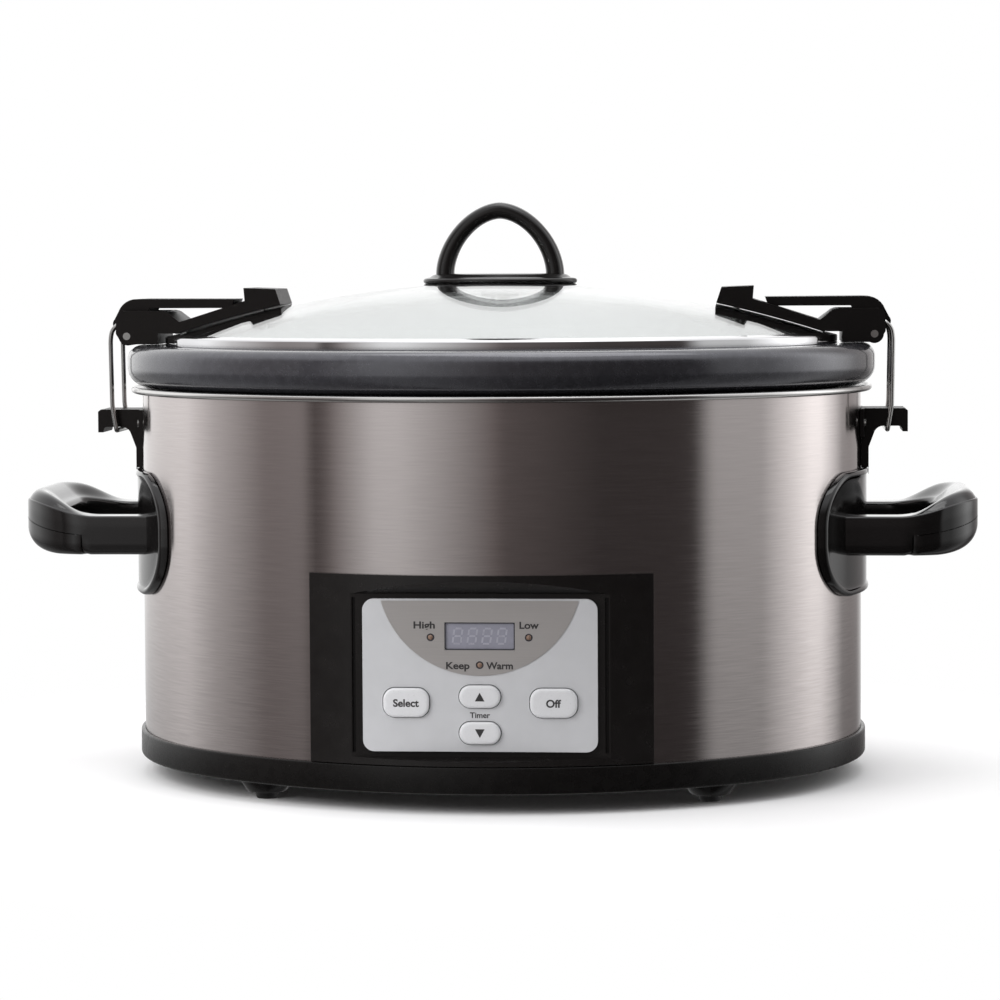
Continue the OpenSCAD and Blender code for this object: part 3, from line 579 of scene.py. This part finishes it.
def ellipse_row(half_x, half_y, z, n=72):
    turns = [2 * math.pi * k / n for k in range(n)]
    return [(half_x * math.cos(t), half_y * math.sin(t), z) for t in turns]


# Above 1, the knob's arch is more pointed than an ellipse
ARCH_POINT = 1.13
# Half the width of the arch's opening, and its height
ARCH_OPENING = (21.6, 25.6)
ARCH_STEPS = 60


def make_knob():
    """Oval foot of the knob and the arch that is gripped."""
    half_x, half_y, top = KNOB_HIGH.x, KNOB_HIGH.y, KNOB_HIGH.z
    profile = [
        (-3.2, KNOB_LOW.z + 0.9), (-1.2, KNOB_LOW.z + 0.5), *arc(-1.3, top - 3.5, 1.3, -80, 90, 10),
        (-3.2, top - 1.7), (-4.6, top - 0.7), (-6.5, top - 0.15), (-9, top),
    ]
    rows = [ellipse_row(half_x + g, half_y + g, z) for g, z in profile]
    points, faces = grid(rows, caps=(True, True))
    build("knob_foot", points, faces, "lid", M["knob_black"], "gloss_black", ["knob_base"])
    foot = ARCH_LOW.z
    outer = (ARCH_HIGH.x, ARCH_HIGH.z - foot)
    inner = ARCH_OPENING
    half_d = ARCH_HIGH.y
    section = super_section(32, 2.7)
    rows = []
    for i in range(ARCH_STEPS + 1):
        t = math.pi * i / ARCH_STEPS
        across = math.copysign(abs(math.cos(t)) ** ARCH_POINT, math.cos(t))
        up = math.sin(t) ** ARCH_POINT
        near = Vector((inner[0] * across, inner[1] * up))
        far = Vector((outer[0] * across, outer[1] * up))
        points = [near.lerp(far, across) for across, _ in section]
        rows.append([
            (p.x, half_d * (2 * up - 1), foot + p.y) for p, (_, up) in zip(points, section)
        ])
    sunk = [[(x, y, z - 0.6) for x, y, z in row] for row in (rows[0], rows[-1])]
    points, faces = grid([sunk[0], *rows, sunk[1]], caps=(True, True))
    build("knob_arch", points, faces, "lid", M["knob_black"], "gloss_black", ["knob_handle"])


# ---------- carry handles ----------

HANDLE_Z = CAP_LOW.z
ARM_H = 18.0
REACH = HANDLE_HIGH.x
HALF_W = HANDLE_HIGH.y
CAP_X = CAP_LOW.x
RISE = HANDLE_HIGH.z - HANDLE_Z - ARM_H
END_ELLIPSE = (22.0, 11.0)
OUTER_CORNER = 34.0
INNER_CORNER = 22.0
GRIP_W = 18.0
ARM_W = 15.0
SEAM = 0.5
SEAM_GAP = 0.16


def handle_edge(x):
    """Height of the loop's upper edges: level along the arms, rising towards the tip."""
    return HANDLE_Z + ARM_H + 0.62 * RISE * ease((x - (REACH - 38)) / 38)


def handle_crown(x):
    """How far the grip's top swells above its edges."""
    return 0.42 * RISE * ease((x - (REACH - 34)) / 22)


def handle_bottom(x):
    over = (x - (REACH + 0.5 - END_ELLIPSE[0])) / END_ELLIPSE[0]
    if over <= 0:
        return HANDLE_Z
    return HANDLE_Z + END_ELLIPSE[1] * (1 - math.sqrt(max(0.0, 1 - over * over)))


def handle_plan():
    """Matching points of the loop's inner and outer outlines, from one root to the other."""
    root_r = PLATE_HIGH.x - END_C - 2.1
    inner_y = HALF_W - ARM_W

    def half(y, corner, end_x):
        root = END_C + math.sqrt(root_r**2 - y**2)
        bend_x = end_x - corner
        line = [(root + (bend_x - root) * i / 14, -y) for i in range(14)]
        line += arc(bend_x, -(y - corner), corner, -90, 0, 22)
        return line + [(end_x, -(y - corner) * (1 - i / 6)) for i in range(1, 7)]

    outer = half(HALF_W, OUTER_CORNER, REACH)
    inner = half(inner_y, INNER_CORNER, REACH - GRIP_W)
    outer += [(x, -y) for x, y in outer[-2::-1]]
    inner += [(x, -y) for x, y in inner[-2::-1]]
    return list(zip(inner, outer))


def handle_ring(near, far, part="whole", inset=0.0):
    """One section of the loop, from its inner to its outer outline: soft below, crisp at the outer
    upper edge, crowned on top. The part may stop at the seam between top and underside."""
    near, far = Vector(near), Vector(far)
    width = (far - near).length
    low_r, edge_r, inner_r = 4.0, 1.1, 2.6
    below = [(d, z, 0) for d, z in arc(low_r, low_r, low_r, 180, 270, 6)]
    below += [(d, z, 0) for d, z in arc(width - low_r, low_r, low_r, 270, 360, 6)]
    outer = [(width, share, 2) for share in (0.3, 0.5, 0.7)]
    above = [(d, z, 1) for d, z in arc(width - edge_r, -edge_r, edge_r, 0, 80, 4)]
    for i in range(1, 12):
        s = i / 12
        above.append((width - edge_r - (width - edge_r - inner_r) * s, math.sin(math.pi * s**0.75), 3))
    above += [(d, z, 1) for d, z in arc(inner_r, -inner_r, inner_r, 95, 180, 6)]
    inner = [(0, share, 2) for share in (0.7, 0.5, 0.3)]
    ring = []
    for d, z, kind in below + outer + above + inner:
        p = near.lerp(far, d / width)
        bottom, edge = handle_bottom(p.x), handle_edge(p.x)
        height = {
            0: bottom + z, 1: edge + z, 2: bottom + (edge - bottom) * z, 3: edge + handle_crown(p.x) * z,
        }[kind]
        seam = bottom + (edge - bottom) * SEAM
        if part == "top":
            height = max(height, seam + SEAM_GAP)
        elif part == "underside":
            height = min(height, seam - SEAM_GAP)
        if inset and height < seam:
            middle = near.lerp(far, 0.5)
            p = p.lerp(middle, inset * (p - middle).length / (width / 2) / (width / 2))
            height += inset
        ring.append((p.x, p.y, height))
    return ring


SHIELD_CORNER = 24
SHIELD_CORNER_STEPS = 14


def split_sides(outline, per_corner, pieces=16):
    """The outline of a rounded rectangle with its straight sides split, so they can follow a bend."""
    found = []
    for i, p in enumerate(outline):
        found.append(p)
        if (i + 1) % per_corner == 0:
            start, end = Vector(p), Vector(outline[(i + 1) % len(outline)])
            found += [tuple(start.lerp(end, k / pieces)) for k in range(1, pieces)]
    return found


def make_plate(side, word):
    """Shield that wraps the end of the shell: a raised lip round a shallow dish."""
    half_w, z0, z1 = PLATE_HIGH.y, PLATE_LOW.z, PLATE_HIGH.z
    thick = PLATE_HIGH.x - END_C - END_R
    mid_z = (z0 + z1) / 2

    def ring(inset, out, share=1.0):
        r = END_R + out
        outline = round_rect(
            2 * (half_w - inset), z1 - z0 - 2 * inset, SHIELD_CORNER - inset, SHIELD_CORNER_STEPS
        )
        flat = [(share * y, mid_z + share * z) for y, z in split_sides(outline, SHIELD_CORNER_STEPS + 1)]
        return [(END_C + math.sqrt(r * r - y * y), y, z) for y, z in flat]

    shares = [1 - i / 22 for i in range(22)]
    rows = [ring(0.3, 0.2, share) for share in shares[::-1]]
    rows += [ring(0, 0.5), ring(0, thick - 1.0), ring(0.12, thick - 0.5), ring(0.45, thick - 0.15)]
    rows += [ring(1.0, thick), ring(1.9, thick), ring(2.4, thick - 0.15), ring(2.75, thick - 0.5)]
    rows += [ring(3.1, thick - 0.75)] + [ring(3.6, thick - 0.8, share) for share in shares]
    points, faces = mirrored(grid(rows, caps=(True, True)), side)
    build(
        f"{word}_shield", points, faces, "base", M["gloss_black"], "gloss_black",
        [f"{word}_handle_plate"], sharp=50,
    )


def make_handle(side, word):
    """The loop is moulded in two: arms and top in one, and an underside under the grip."""
    pairs = handle_plan()
    start = next(i for i, (near, _) in enumerate(pairs) if near[0] >= CAP_X)
    stop = len(pairs) - 1 - start
    rows, under = [], []
    for i, (near, far) in enumerate(pairs):
        at_seam = i in (start, stop)
        notch = 0.5 if at_seam else 0.0
        if i == start:
            rows.append(handle_ring(near, far, inset=notch))
        if start <= i <= stop:
            rows.append(handle_ring(near, far, "top"))
            shift = Vector((0.7, 0)) if at_seam else Vector((0, 0))
            under.append(handle_ring(Vector(near) + shift, Vector(far) + shift, "underside", notch))
        else:
            rows.append(handle_ring(near, far))
        if i == stop:
            rows.append(handle_ring(near, far, inset=notch))
    body = mirrored(grid(rows, caps=(True, True)), side)
    build(f"{word}_grip", *body, "base", M["gloss_black"], "gloss_black", [f"{word}_handle"], sharp=32)
    cap = mirrored(grid(under, caps=(True, True)), side)
    build(
        f"{word}_grip_underside", *cap, "base", M["gloss_black"], "gloss_black",
        [f"{word}_handle_cap"], sharp=32,
    )


# ---------- latches ----------


WIRE_R = 1.1
WIRE_BEND = 2.2
BAIL_HALF_W = 15.0


def make_bail(side, word):
    """Bent wire: through the lever, down both sides and across under the hook."""
    half = BAIL_HALF_W
    top_x, top_z = 179.32, 210.55
    foot_x, foot_z = 180.7, BAIL_LOW.z + WIRE_R * 1.12
    leg = [
        (top_x, top_z), (182.4, 207.4), (183.1, 203.0), (182.6, 172.0), (foot_x + 0.4, foot_z + 2.4),
        (foot_x, foot_z),
    ]
    route = [(x, half, z) for x, z in leg] + [(x, -half, z) for x, z in reversed(leg)]
    wire = mirrored(loop_tube(rounded(route, WIRE_BEND), WIRE_R), side)
    build(
        f"{word}_bail_wire", *wire, f"{word}_bail", M["steel_wire"], "steel_wire",
        [f"{word}_latch_bail"], sharp=60,
    )


# ---------- panel ----------

KEYS = {
    "select": ("select_button", "select_key"),
    "off": ("off_button", "off_key"),
    "timer_up": ("timer_up_button", "up_key"),
    "timer_down": ("timer_down_button", "down_key"),
}


def make_key(name, node, body):
    """Push button: a plate with a rounded shoulder and a slightly raised face."""
    low, high = span(node)
    x, z = (low.x + high.x) / 2, (low.z + high.z) / 2
    w, h = high.x - low.x - 2.4, high.z - low.z - 1.4
    corner = min(5.0, h / 2 - 0.05)
    front = low.y

    def outline(inset):
        return round_rect(w - 2 * inset, h - 2 * inset, corner - inset)

    rows = [(0, FACE_Y + 2.0), (0, front + 1.0), (0.12, front + 0.55), (0.4, front + 0.25),
            (0.85, front + 0.07), (1.5, front), (2.4, front)]
    points, faces = slab(outline, rows, x, z)
    build(f"{name}_cap", points, faces, body, M["silver_button"], "silver_button", [node], sharp=50)
    moat = [(-0.85, FACE_Y + 0.12), (-0.85, FACE_Y - 0.06), (-0.55, FACE_Y - 0.16),
            (-0.34, FACE_Y - 0.06), (-0.34, FACE_Y + 0.12)]
    rings = [
        [(x + px, y, z + pz) for px, pz in outline(inset)] for inset, y in moat
    ]
    points, faces = grid(rings, loop_rows=True)
    build(f"{name}_surround", points, faces, "base", M["silver_face"], "silver_face", sharp=60)
    return x, z, front


DIGITS_X = (-9.6, -3.2, 3.2, 9.6)
DIGIT_SLANT = 0.14
BAR_T = 0.8


def make_window():
    """Tinted display window, set back behind a dark rim that paints the shade of its recess, with its unlit
    digits.
    """
    x, z = (WINDOW_LOW.x + WINDOW_HIGH.x) / 2, (WINDOW_LOW.z + WINDOW_HIGH.z) / 2
    w, h = WINDOW_HIGH.x - WINDOW_LOW.x, WINDOW_HIGH.z - WINDOW_LOW.z
    pane_y = TRIM_Y + 0.75

    def outline(inset):
        return round_rect(w - 2 * inset, h - 2 * inset, max(0.1, 1.0 - inset), 4)

    points, faces = slab(outline, [(0.05, pane_y + 1.0), (0.05, pane_y)], x, z)
    build("window_pane", points, faces, "base", M["window_glass"], "window_glass", ["display_window"])
    # A dark rim round the pane: its colour paints the shade of the recess the pane sits in
    rim = [(0.02, pane_y + 0.4), (-0.02, TRIM_Y - 0.02), (0.22, TRIM_Y - 0.04), (0.42, TRIM_Y + 0.15),
           (0.55, pane_y + 0.4)]
    rings = [[(x + px, y, z + pz) for px, pz in outline(inset)] for inset, y in rim]
    points, faces = grid(rings, loop_rows=True)
    build("window_painted_shade_rim", points, faces, "base", M["lamp_rim_and_window_shade"], "window_glass", sharp=25)
    thick = BAR_T / 2
    bars = []
    for cx in DIGITS_X:
        for dz in (-3.3, 0, 3.3):
            bars.append([
                (cx - 1.45, dz - thick), (cx + 1.45, dz - thick),
                (cx + 1.2, dz + thick), (cx - 1.2, dz + thick),
            ])
        for dx in (-1.75, 1.75):
            for dz in (-1.65, 1.65):
                bars.append([
                    (cx + dx - thick, dz - 1.2), (cx + dx + thick, dz - 1.2),
                    (cx + dx + thick, dz + 1.2), (cx + dx - thick, dz + 1.2),
                ])
    parts = [
        prism([(x + px + DIGIT_SLANT * pz, z + pz) for px, pz in bar], pane_y + 0.02, pane_y - 0.03)
        for bar in bars
    ]
    points, faces = merge(parts)
    build("window_digits", points, faces, "base", M["digit"], "window_glass")


LAMPS = [(-21.3, 76.8), (21.3, 76.8), (0.0, 64.8)]


LENS_R = 1.2


def ring_xz(x, z, r, y, n=28):
    turns = [2 * math.pi * k / n for k in range(n)]
    return [(x + r * math.cos(t), y, z + r * math.sin(t)) for t in turns]


def make_lamps():
    """Small domed lenses, each in a dark ring."""
    angles = [math.pi * k / 20 for k in range(9)]
    dome = [(LENS_R, TRIM_Y + 2.5)]
    dome += [(LENS_R * math.cos(a), TRIM_Y + 0.35 - 0.75 * math.sin(a)) for a in angles]
    lip = [
        (LENS_R, TRIM_Y + 0.5), (LENS_R, TRIM_Y + 0.1), (1.4, TRIM_Y - 0.1), (1.65, TRIM_Y - 0.06),
        (1.75, TRIM_Y + 0.05), (1.75, TRIM_Y + 0.5),
    ]
    lenses, rings = [], []
    for x, z in LAMPS:
        lenses.append(grid([ring_xz(x, z, r, y) for r, y in dome], caps=(True, True)))
        rings.append(grid([ring_xz(x, z, r, y) for r, y in lip], loop_rows=True))
    build("lamp_lenses", *merge(lenses), "base", M["lamp_lens"], "lamp_lens", ["indicator_lights"])
    build("lamp_rings", *merge(rings), "base", M["lamp_rim_and_window_shade"], "dark_plastic", sharp=60)


GLYPH_EXTRUDE = 0.05
INK_T = 0.03


def text_mesh(word, bold):
    """Points and faces of a word in Blender's own typeface."""
    curve = bpy.data.curves.new("glyphs", "FONT")
    curve.body = word
    curve.extrude = GLYPH_EXTRUDE
    curve.offset = bold
    curve.resolution_u = 6
    holder = bpy.data.objects.new("glyphs", curve)
    bpy.context.scene.collection.objects.link(holder)
    graph = bpy.context.evaluated_depsgraph_get()
    mesh = bpy.data.meshes.new_from_object(holder.evaluated_get(graph))
    points = [Vector(v.co) for v in mesh.vertices]
    faces = [tuple(f.vertices) for f in mesh.polygons]
    bpy.data.objects.remove(holder)
    bpy.data.curves.remove(curve)
    bpy.data.meshes.remove(mesh)
    return points, faces


def make_label(word, x, z, width, cap, y, body="base", bold=0.028):
    """A printed word, centred at x and z, of the given width and capital height."""
    points, faces = text_mesh(word, bold)
    caps_top = max(p.y for p in text_mesh("H", bold)[0])
    left, right = min(p.x for p in points), max(p.x for p in points)
    across, up = width / (right - left), cap / caps_top
    depth = INK_T / GLYPH_EXTRUDE
    placed = [
        (x + (p.x - (left + right) / 2) * across, y - p.z * depth, z - cap / 2 + p.y * up) for p in points
    ]
    build(f"label_{word.lower()}", placed, faces, body, M["print_ink"], "dark_plastic", sharp=30)


def make_panel():
    for x, z, word, width, cap in (
        (-24.0, 82.2, "High", 9.3, 3.0), (21.5, 82.2, "Low", 8.4, 3.0),
        (-9.5, 64.6, "Keep", 10.2, 3.0), (8.6, 64.6, "Warm", 11.6, 3.0),
    ):
        make_label(word, x, z, width, cap, TRIM_Y - 0.02)
    make_label("Timer", 0, 43.0, 8.8, 2.4, FACE_Y - 0.02, bold=0.022)
    spots = {name: make_key(name, *pair) for name, pair in KEYS.items()}
    for name, word, width, cap in (("select", "Select", 11.2, 3.2), ("off", "Off", 6.5, 3.3)):
        x, z, front = spots[name]
        make_label(word, x, z, width, cap, front - 0.02, KEYS[name][1])
    for name, sign in (("timer_up", 1), ("timer_down", -1)):
        x, z, front = spots[name]
        outline = [(x - 2.1, z - sign * 1.9), (x + 2.1, z - sign * 1.9), (x, z + sign * 1.9)]
        build(
            f"{name}_arrow", *prism(outline, front + 0.02, front - 0.04), KEYS[name][1],
            M["print_ink"], "dark_plastic",
        )


# ---------- CAD nodes that stay ----------

KEPT = {
    "bezel_plastic": ["panel_bezel"],
    "silver_face": ["faceplate"],
    "brushed_trim": ["display_surround"],
    "satin_black": [
        "left_hook_bracket", "right_hook_bracket", "left_latch_arm", "right_latch_arm",
        "left_latch_lever", "right_latch_lever",
    ],
    "steel_wire": [
        "bezel_screws", "base_screws", "handle_screws", "hook_rivets", "knob_screw", "latch_screws",
        "left_latch_pin", "right_latch_pin", "sensor_spring",
    ],
    "foot_rubber": ["rubber_feet", "cord_grommet"],
    "gasket_rubber": ["lid_gasket", "knob_washer"],
    "mica_heater": ["heater_band"],
    "fibre_blanket": ["insulation_blanket"],
    "aluminium_sheet": ["heat_shield"],
    "brass": ["sensor_cup"],
    "fuse_ceramic": ["thermal_fuse"],
    "board_green": ["power_board", "control_board"],
    "dark_plastic": ["tact_switches"],
    "white_plastic": ["display_module"],
    "wire_insulation": ["wiring_harness"],
}

EDGE_ROUNDING = {
    "faceplate": 0.3,
    "left_hook_bracket": 0.4, "right_hook_bracket": 0.4, "left_latch_arm": 0.6, "right_latch_arm": 0.6,
    "left_latch_lever": 0.6, "right_latch_lever": 0.6, "rubber_feet": 0.4,
}


def finish_kept_nodes():
    """Gives each CAD node that stays its finish, and rounds the edges of those in view."""
    for finish, names in KEPT.items():
        for name in names:
            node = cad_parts[name]
            node.data.materials.clear()
            node.data.materials.append(M[finish])
    for name, width in EDGE_ROUNDING.items():
        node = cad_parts[name]
        weld = node.modifiers.new("weld", "WELD")
        weld.merge_threshold = 0.01 * MM
        bevel = node.modifiers.new("edges", "BEVEL")
        bevel.width = width * MM
        bevel.segments = 3
        bevel.limit_method = "ANGLE"
        bevel.angle_limit = math.radians(32)


# ---------- stage ----------

# Metres from the middle of the floor
FLOOR_FADE = (0.15, 0.37)
FLOOR_RINGS = (0.1, 0.2, 0.3, 0.48)

# Soft panels of light round the studio: the directions where each starts, is full, starts to fade and
# ends, in degrees from the front towards +X, and its light as the steel shows it, where white is 1
PANELS = {
    "behind": (144, 180, 184, 236, 0.165),
    "back left": (156, 180, 258, 294, 0.52),
    "left wall": (-150, -108, -53.5, -51, 0.135),
    "key": (-47.5, -32.5, -26, 2, 0.435),
    "key's spill": (-62, -44, 0, 28, 0.048),
    "right wall": (54.5, 60, 112, 190, 0.33),
    "right side": (76, 106, 114, 134, 0.66),
}
ROOM_LIGHT = 0.03
# Dark directions are warmer: by how much, and the light where that starts and is complete
WARMTH = 0.14
WARM_START, WARM_FULL = 0.305, 0.102
# Share of the light that the steel mirrors
STEEL_MIRROR = 0.52
CEILING = (1.2, 1.2, 1.22)
CEILING_BLEND = (0.42, 0.85)
# The studio dims below the horizon: direction heights, and the share of light kept at each
BELOW_HORIZON = (-0.21, 0.0, 0.3, 1.0)


def studio_light(turn):
    """Light of the studio in one direction: the room and every panel that reaches it."""
    total = ROOM_LIGHT
    for start, full, fade, end, level in PANELS.values():
        for angle in (turn, turn + 360):
            if start < angle < end:
                total += level * min(1.0, (angle - start) / (full - start), (end - angle) / (end - fade))
    return total


def studio_corners():
    """Directions where the studio's light bends, from -180 to 180 degrees."""
    edges = [(edge + 180) % 360 - 180 for panel in PANELS.values() for edge in panel[:4]]
    return sorted({-180, 180, *edges})


def make_world():
    """Soft studio: brightness by direction round the cooker, a pale ceiling, and a white backdrop."""
    world = bpy.data.worlds.new("studio")
    bpy.context.scene.world = world
    world.use_nodes = True
    nodes, link = world.node_tree.nodes, world.node_tree.links.new
    back = nodes["Background"]
    place = nodes.new("ShaderNodeTexCoord")
    split = nodes.new("ShaderNodeSeparateXYZ")
    link(place.outputs["Generated"], split.inputs["Vector"])

    def maths(operation, a, b):
        node = nodes.new("ShaderNodeMath")
        node.operation = operation
        for socket, value in zip(node.inputs, (a, b)):
            if isinstance(value, float):
                socket.default_value = value
            else:
                link(value, socket)
        return node.outputs["Value"]

    front = maths("MULTIPLY", split.outputs["Y"], -1.0)
    turn = maths("ARCTAN2", split.outputs["X"], front)
    share = maths("MULTIPLY_ADD", turn, 1 / (2 * math.pi))
    share.node.inputs[2].default_value = 0.5
    ramp = nodes.new("ShaderNodeValToRGB")
    stops = ramp.color_ramp.elements
    while len(stops) > 1:
        stops.remove(stops[-1])
    for i, angle in enumerate(studio_corners()):
        stop = stops[0] if i == 0 else stops.new((angle + 180) / 360)
        stop.position = (angle + 180) / 360
        light = studio_light(angle)
        glow = light / STEEL_MIRROR
        warm = WARMTH * min(1.0, max(0.0, (WARM_START - light) / (WARM_START - WARM_FULL)))
        stop.color = (glow * (1 + warm), glow, glow * (1 - 0.1 * warm), 1.0)
    link(share, ramp.inputs["Fac"])

    def blend_by_height(low, high, below, colour):
        fade = nodes.new("ShaderNodeMapRange")
        fade.interpolation_type = "SMOOTHSTEP"
        fade.inputs["From Min"].default_value = low
        fade.inputs["From Max"].default_value = high
        link(split.outputs["Z"], fade.inputs["Value"])
        mix = nodes.new("ShaderNodeMix")
        mix.data_type = "RGBA"
        mix.inputs["B"].default_value = (*colour, 1.0)
        link(fade.outputs["Result"], mix.inputs["Factor"])
        link(below, mix.inputs["A"])
        return mix.outputs["Result"]

    below = nodes.new("ShaderNodeMapRange")
    below.interpolation_type = "SMOOTHSTEP"
    for socket, value in zip(("From Min", "From Max", "To Min", "To Max"), BELOW_HORIZON):
        below.inputs[socket].default_value = value
    link(split.outputs["Z"], below.inputs["Value"])
    around = nodes.new("ShaderNodeVectorMath")
    around.operation = "SCALE"
    link(ramp.outputs["Color"], around.inputs[0])
    link(below.outputs["Result"], around.inputs["Scale"])
    light = blend_by_height(*CEILING_BLEND, around.outputs["Vector"], CEILING)
    path = nodes.new("ShaderNodeLightPath")
    seen = maths("MAXIMUM", path.outputs["Is Camera Ray"], path.outputs["Is Transmission Ray"])
    mix = nodes.new("ShaderNodeMix")
    mix.data_type = "RGBA"
    mix.inputs["B"].default_value = (1, 1, 1, 1)
    link(seen, mix.inputs["Factor"])
    link(light, mix.inputs["A"])
    link(mix.outputs["Result"], back.inputs["Color"])


def make_floor():
    rings = [ring_xy(0, 0, r / MM, 0, 96) for r in FLOOR_RINGS]
    points, faces = grid(rings, caps=(True, False))
    mesh = bpy.data.meshes.new("floor")
    mesh.from_pydata([Vector(p) * MM for p in points], [], faces)
    mesh.materials.append(pale_floor())
    floor = bpy.data.objects.new("floor", mesh)
    bpy.context.scene.collection.objects.link(floor)
    floor.visible_glossy = False


def area_light(name, place, target, size, power):
    light = bpy.data.lights.new(name, "AREA")
    light.shape = "RECTANGLE"
    light.size, light.size_y = size
    light.energy = power
    holder = bpy.data.objects.new(name, light)
    bpy.context.scene.collection.objects.link(holder)
    holder.location = place
    aim = Vector(target) - Vector(place)
    holder.rotation_euler = aim.to_track_quat("-Z", "Y").to_euler()
    return holder


# Area lights: place, target, size and watts
TOP_LIGHT = ((0.1, 0.1, 1.6), (0, 0, 0.1), (1.2, 0.9), 6.0)
FILL_LIGHT = ((-0.28, -0.34, 0.2), (-0.02, -0.137, 0.055), (0.2, 0.2), 0.95)

# Degrees, metres, and millimetres for the lens
CAMERA_TURN = 4.2
CAMERA_TILT = 3.07
CAMERA_ROLL = 0.3
CAMERA_DISTANCE = 1.5
CAMERA_HEIGHT = 0.239
CAMERA_SENSOR = 36.0
CAMERA_LENS = 114.5
CAMERA_SHIFT = (-0.001, -0.068)


def make_camera():
    data = bpy.data.cameras.new("camera")
    data.sensor_width = CAMERA_SENSOR
    data.lens = CAMERA_LENS
    data.shift_x, data.shift_y = CAMERA_SHIFT
    camera = bpy.data.objects.new("camera", data)
    bpy.context.scene.collection.objects.link(camera)
    turn, tilt = math.radians(CAMERA_TURN), math.radians(CAMERA_TILT)
    camera.location = (
        CAMERA_DISTANCE * math.sin(turn), -CAMERA_DISTANCE * math.cos(turn), CAMERA_HEIGHT,
    )
    aim = Vector((-math.sin(turn) * math.cos(tilt), math.cos(turn) * math.cos(tilt), -math.sin(tilt)))
    roll = Quaternion((0, 0, 1), -math.radians(CAMERA_ROLL))
    camera.rotation_euler = (aim.to_track_quat("-Z", "Y") @ roll).to_euler()
    bpy.context.scene.camera = camera


make_camera()
make_world()
make_floor()
area_light("top", *TOP_LIGHT)
fill = area_light("fill", *FILL_LIGHT)
fill.visible_glossy = False
fill.visible_camera = False
bpy.context.scene.view_settings.view_transform = "Standard"

make_shell()
make_well()
make_skirt()
make_crock()
make_glass()
make_rim_band()
make_knob()
for side, word in ((1, "right"), (-1, "left")):
    make_plate(side, word)
    make_handle(side, word)
    make_bail(side, word)
make_window()
make_lamps()
make_panel()
finish_kept_nodes()
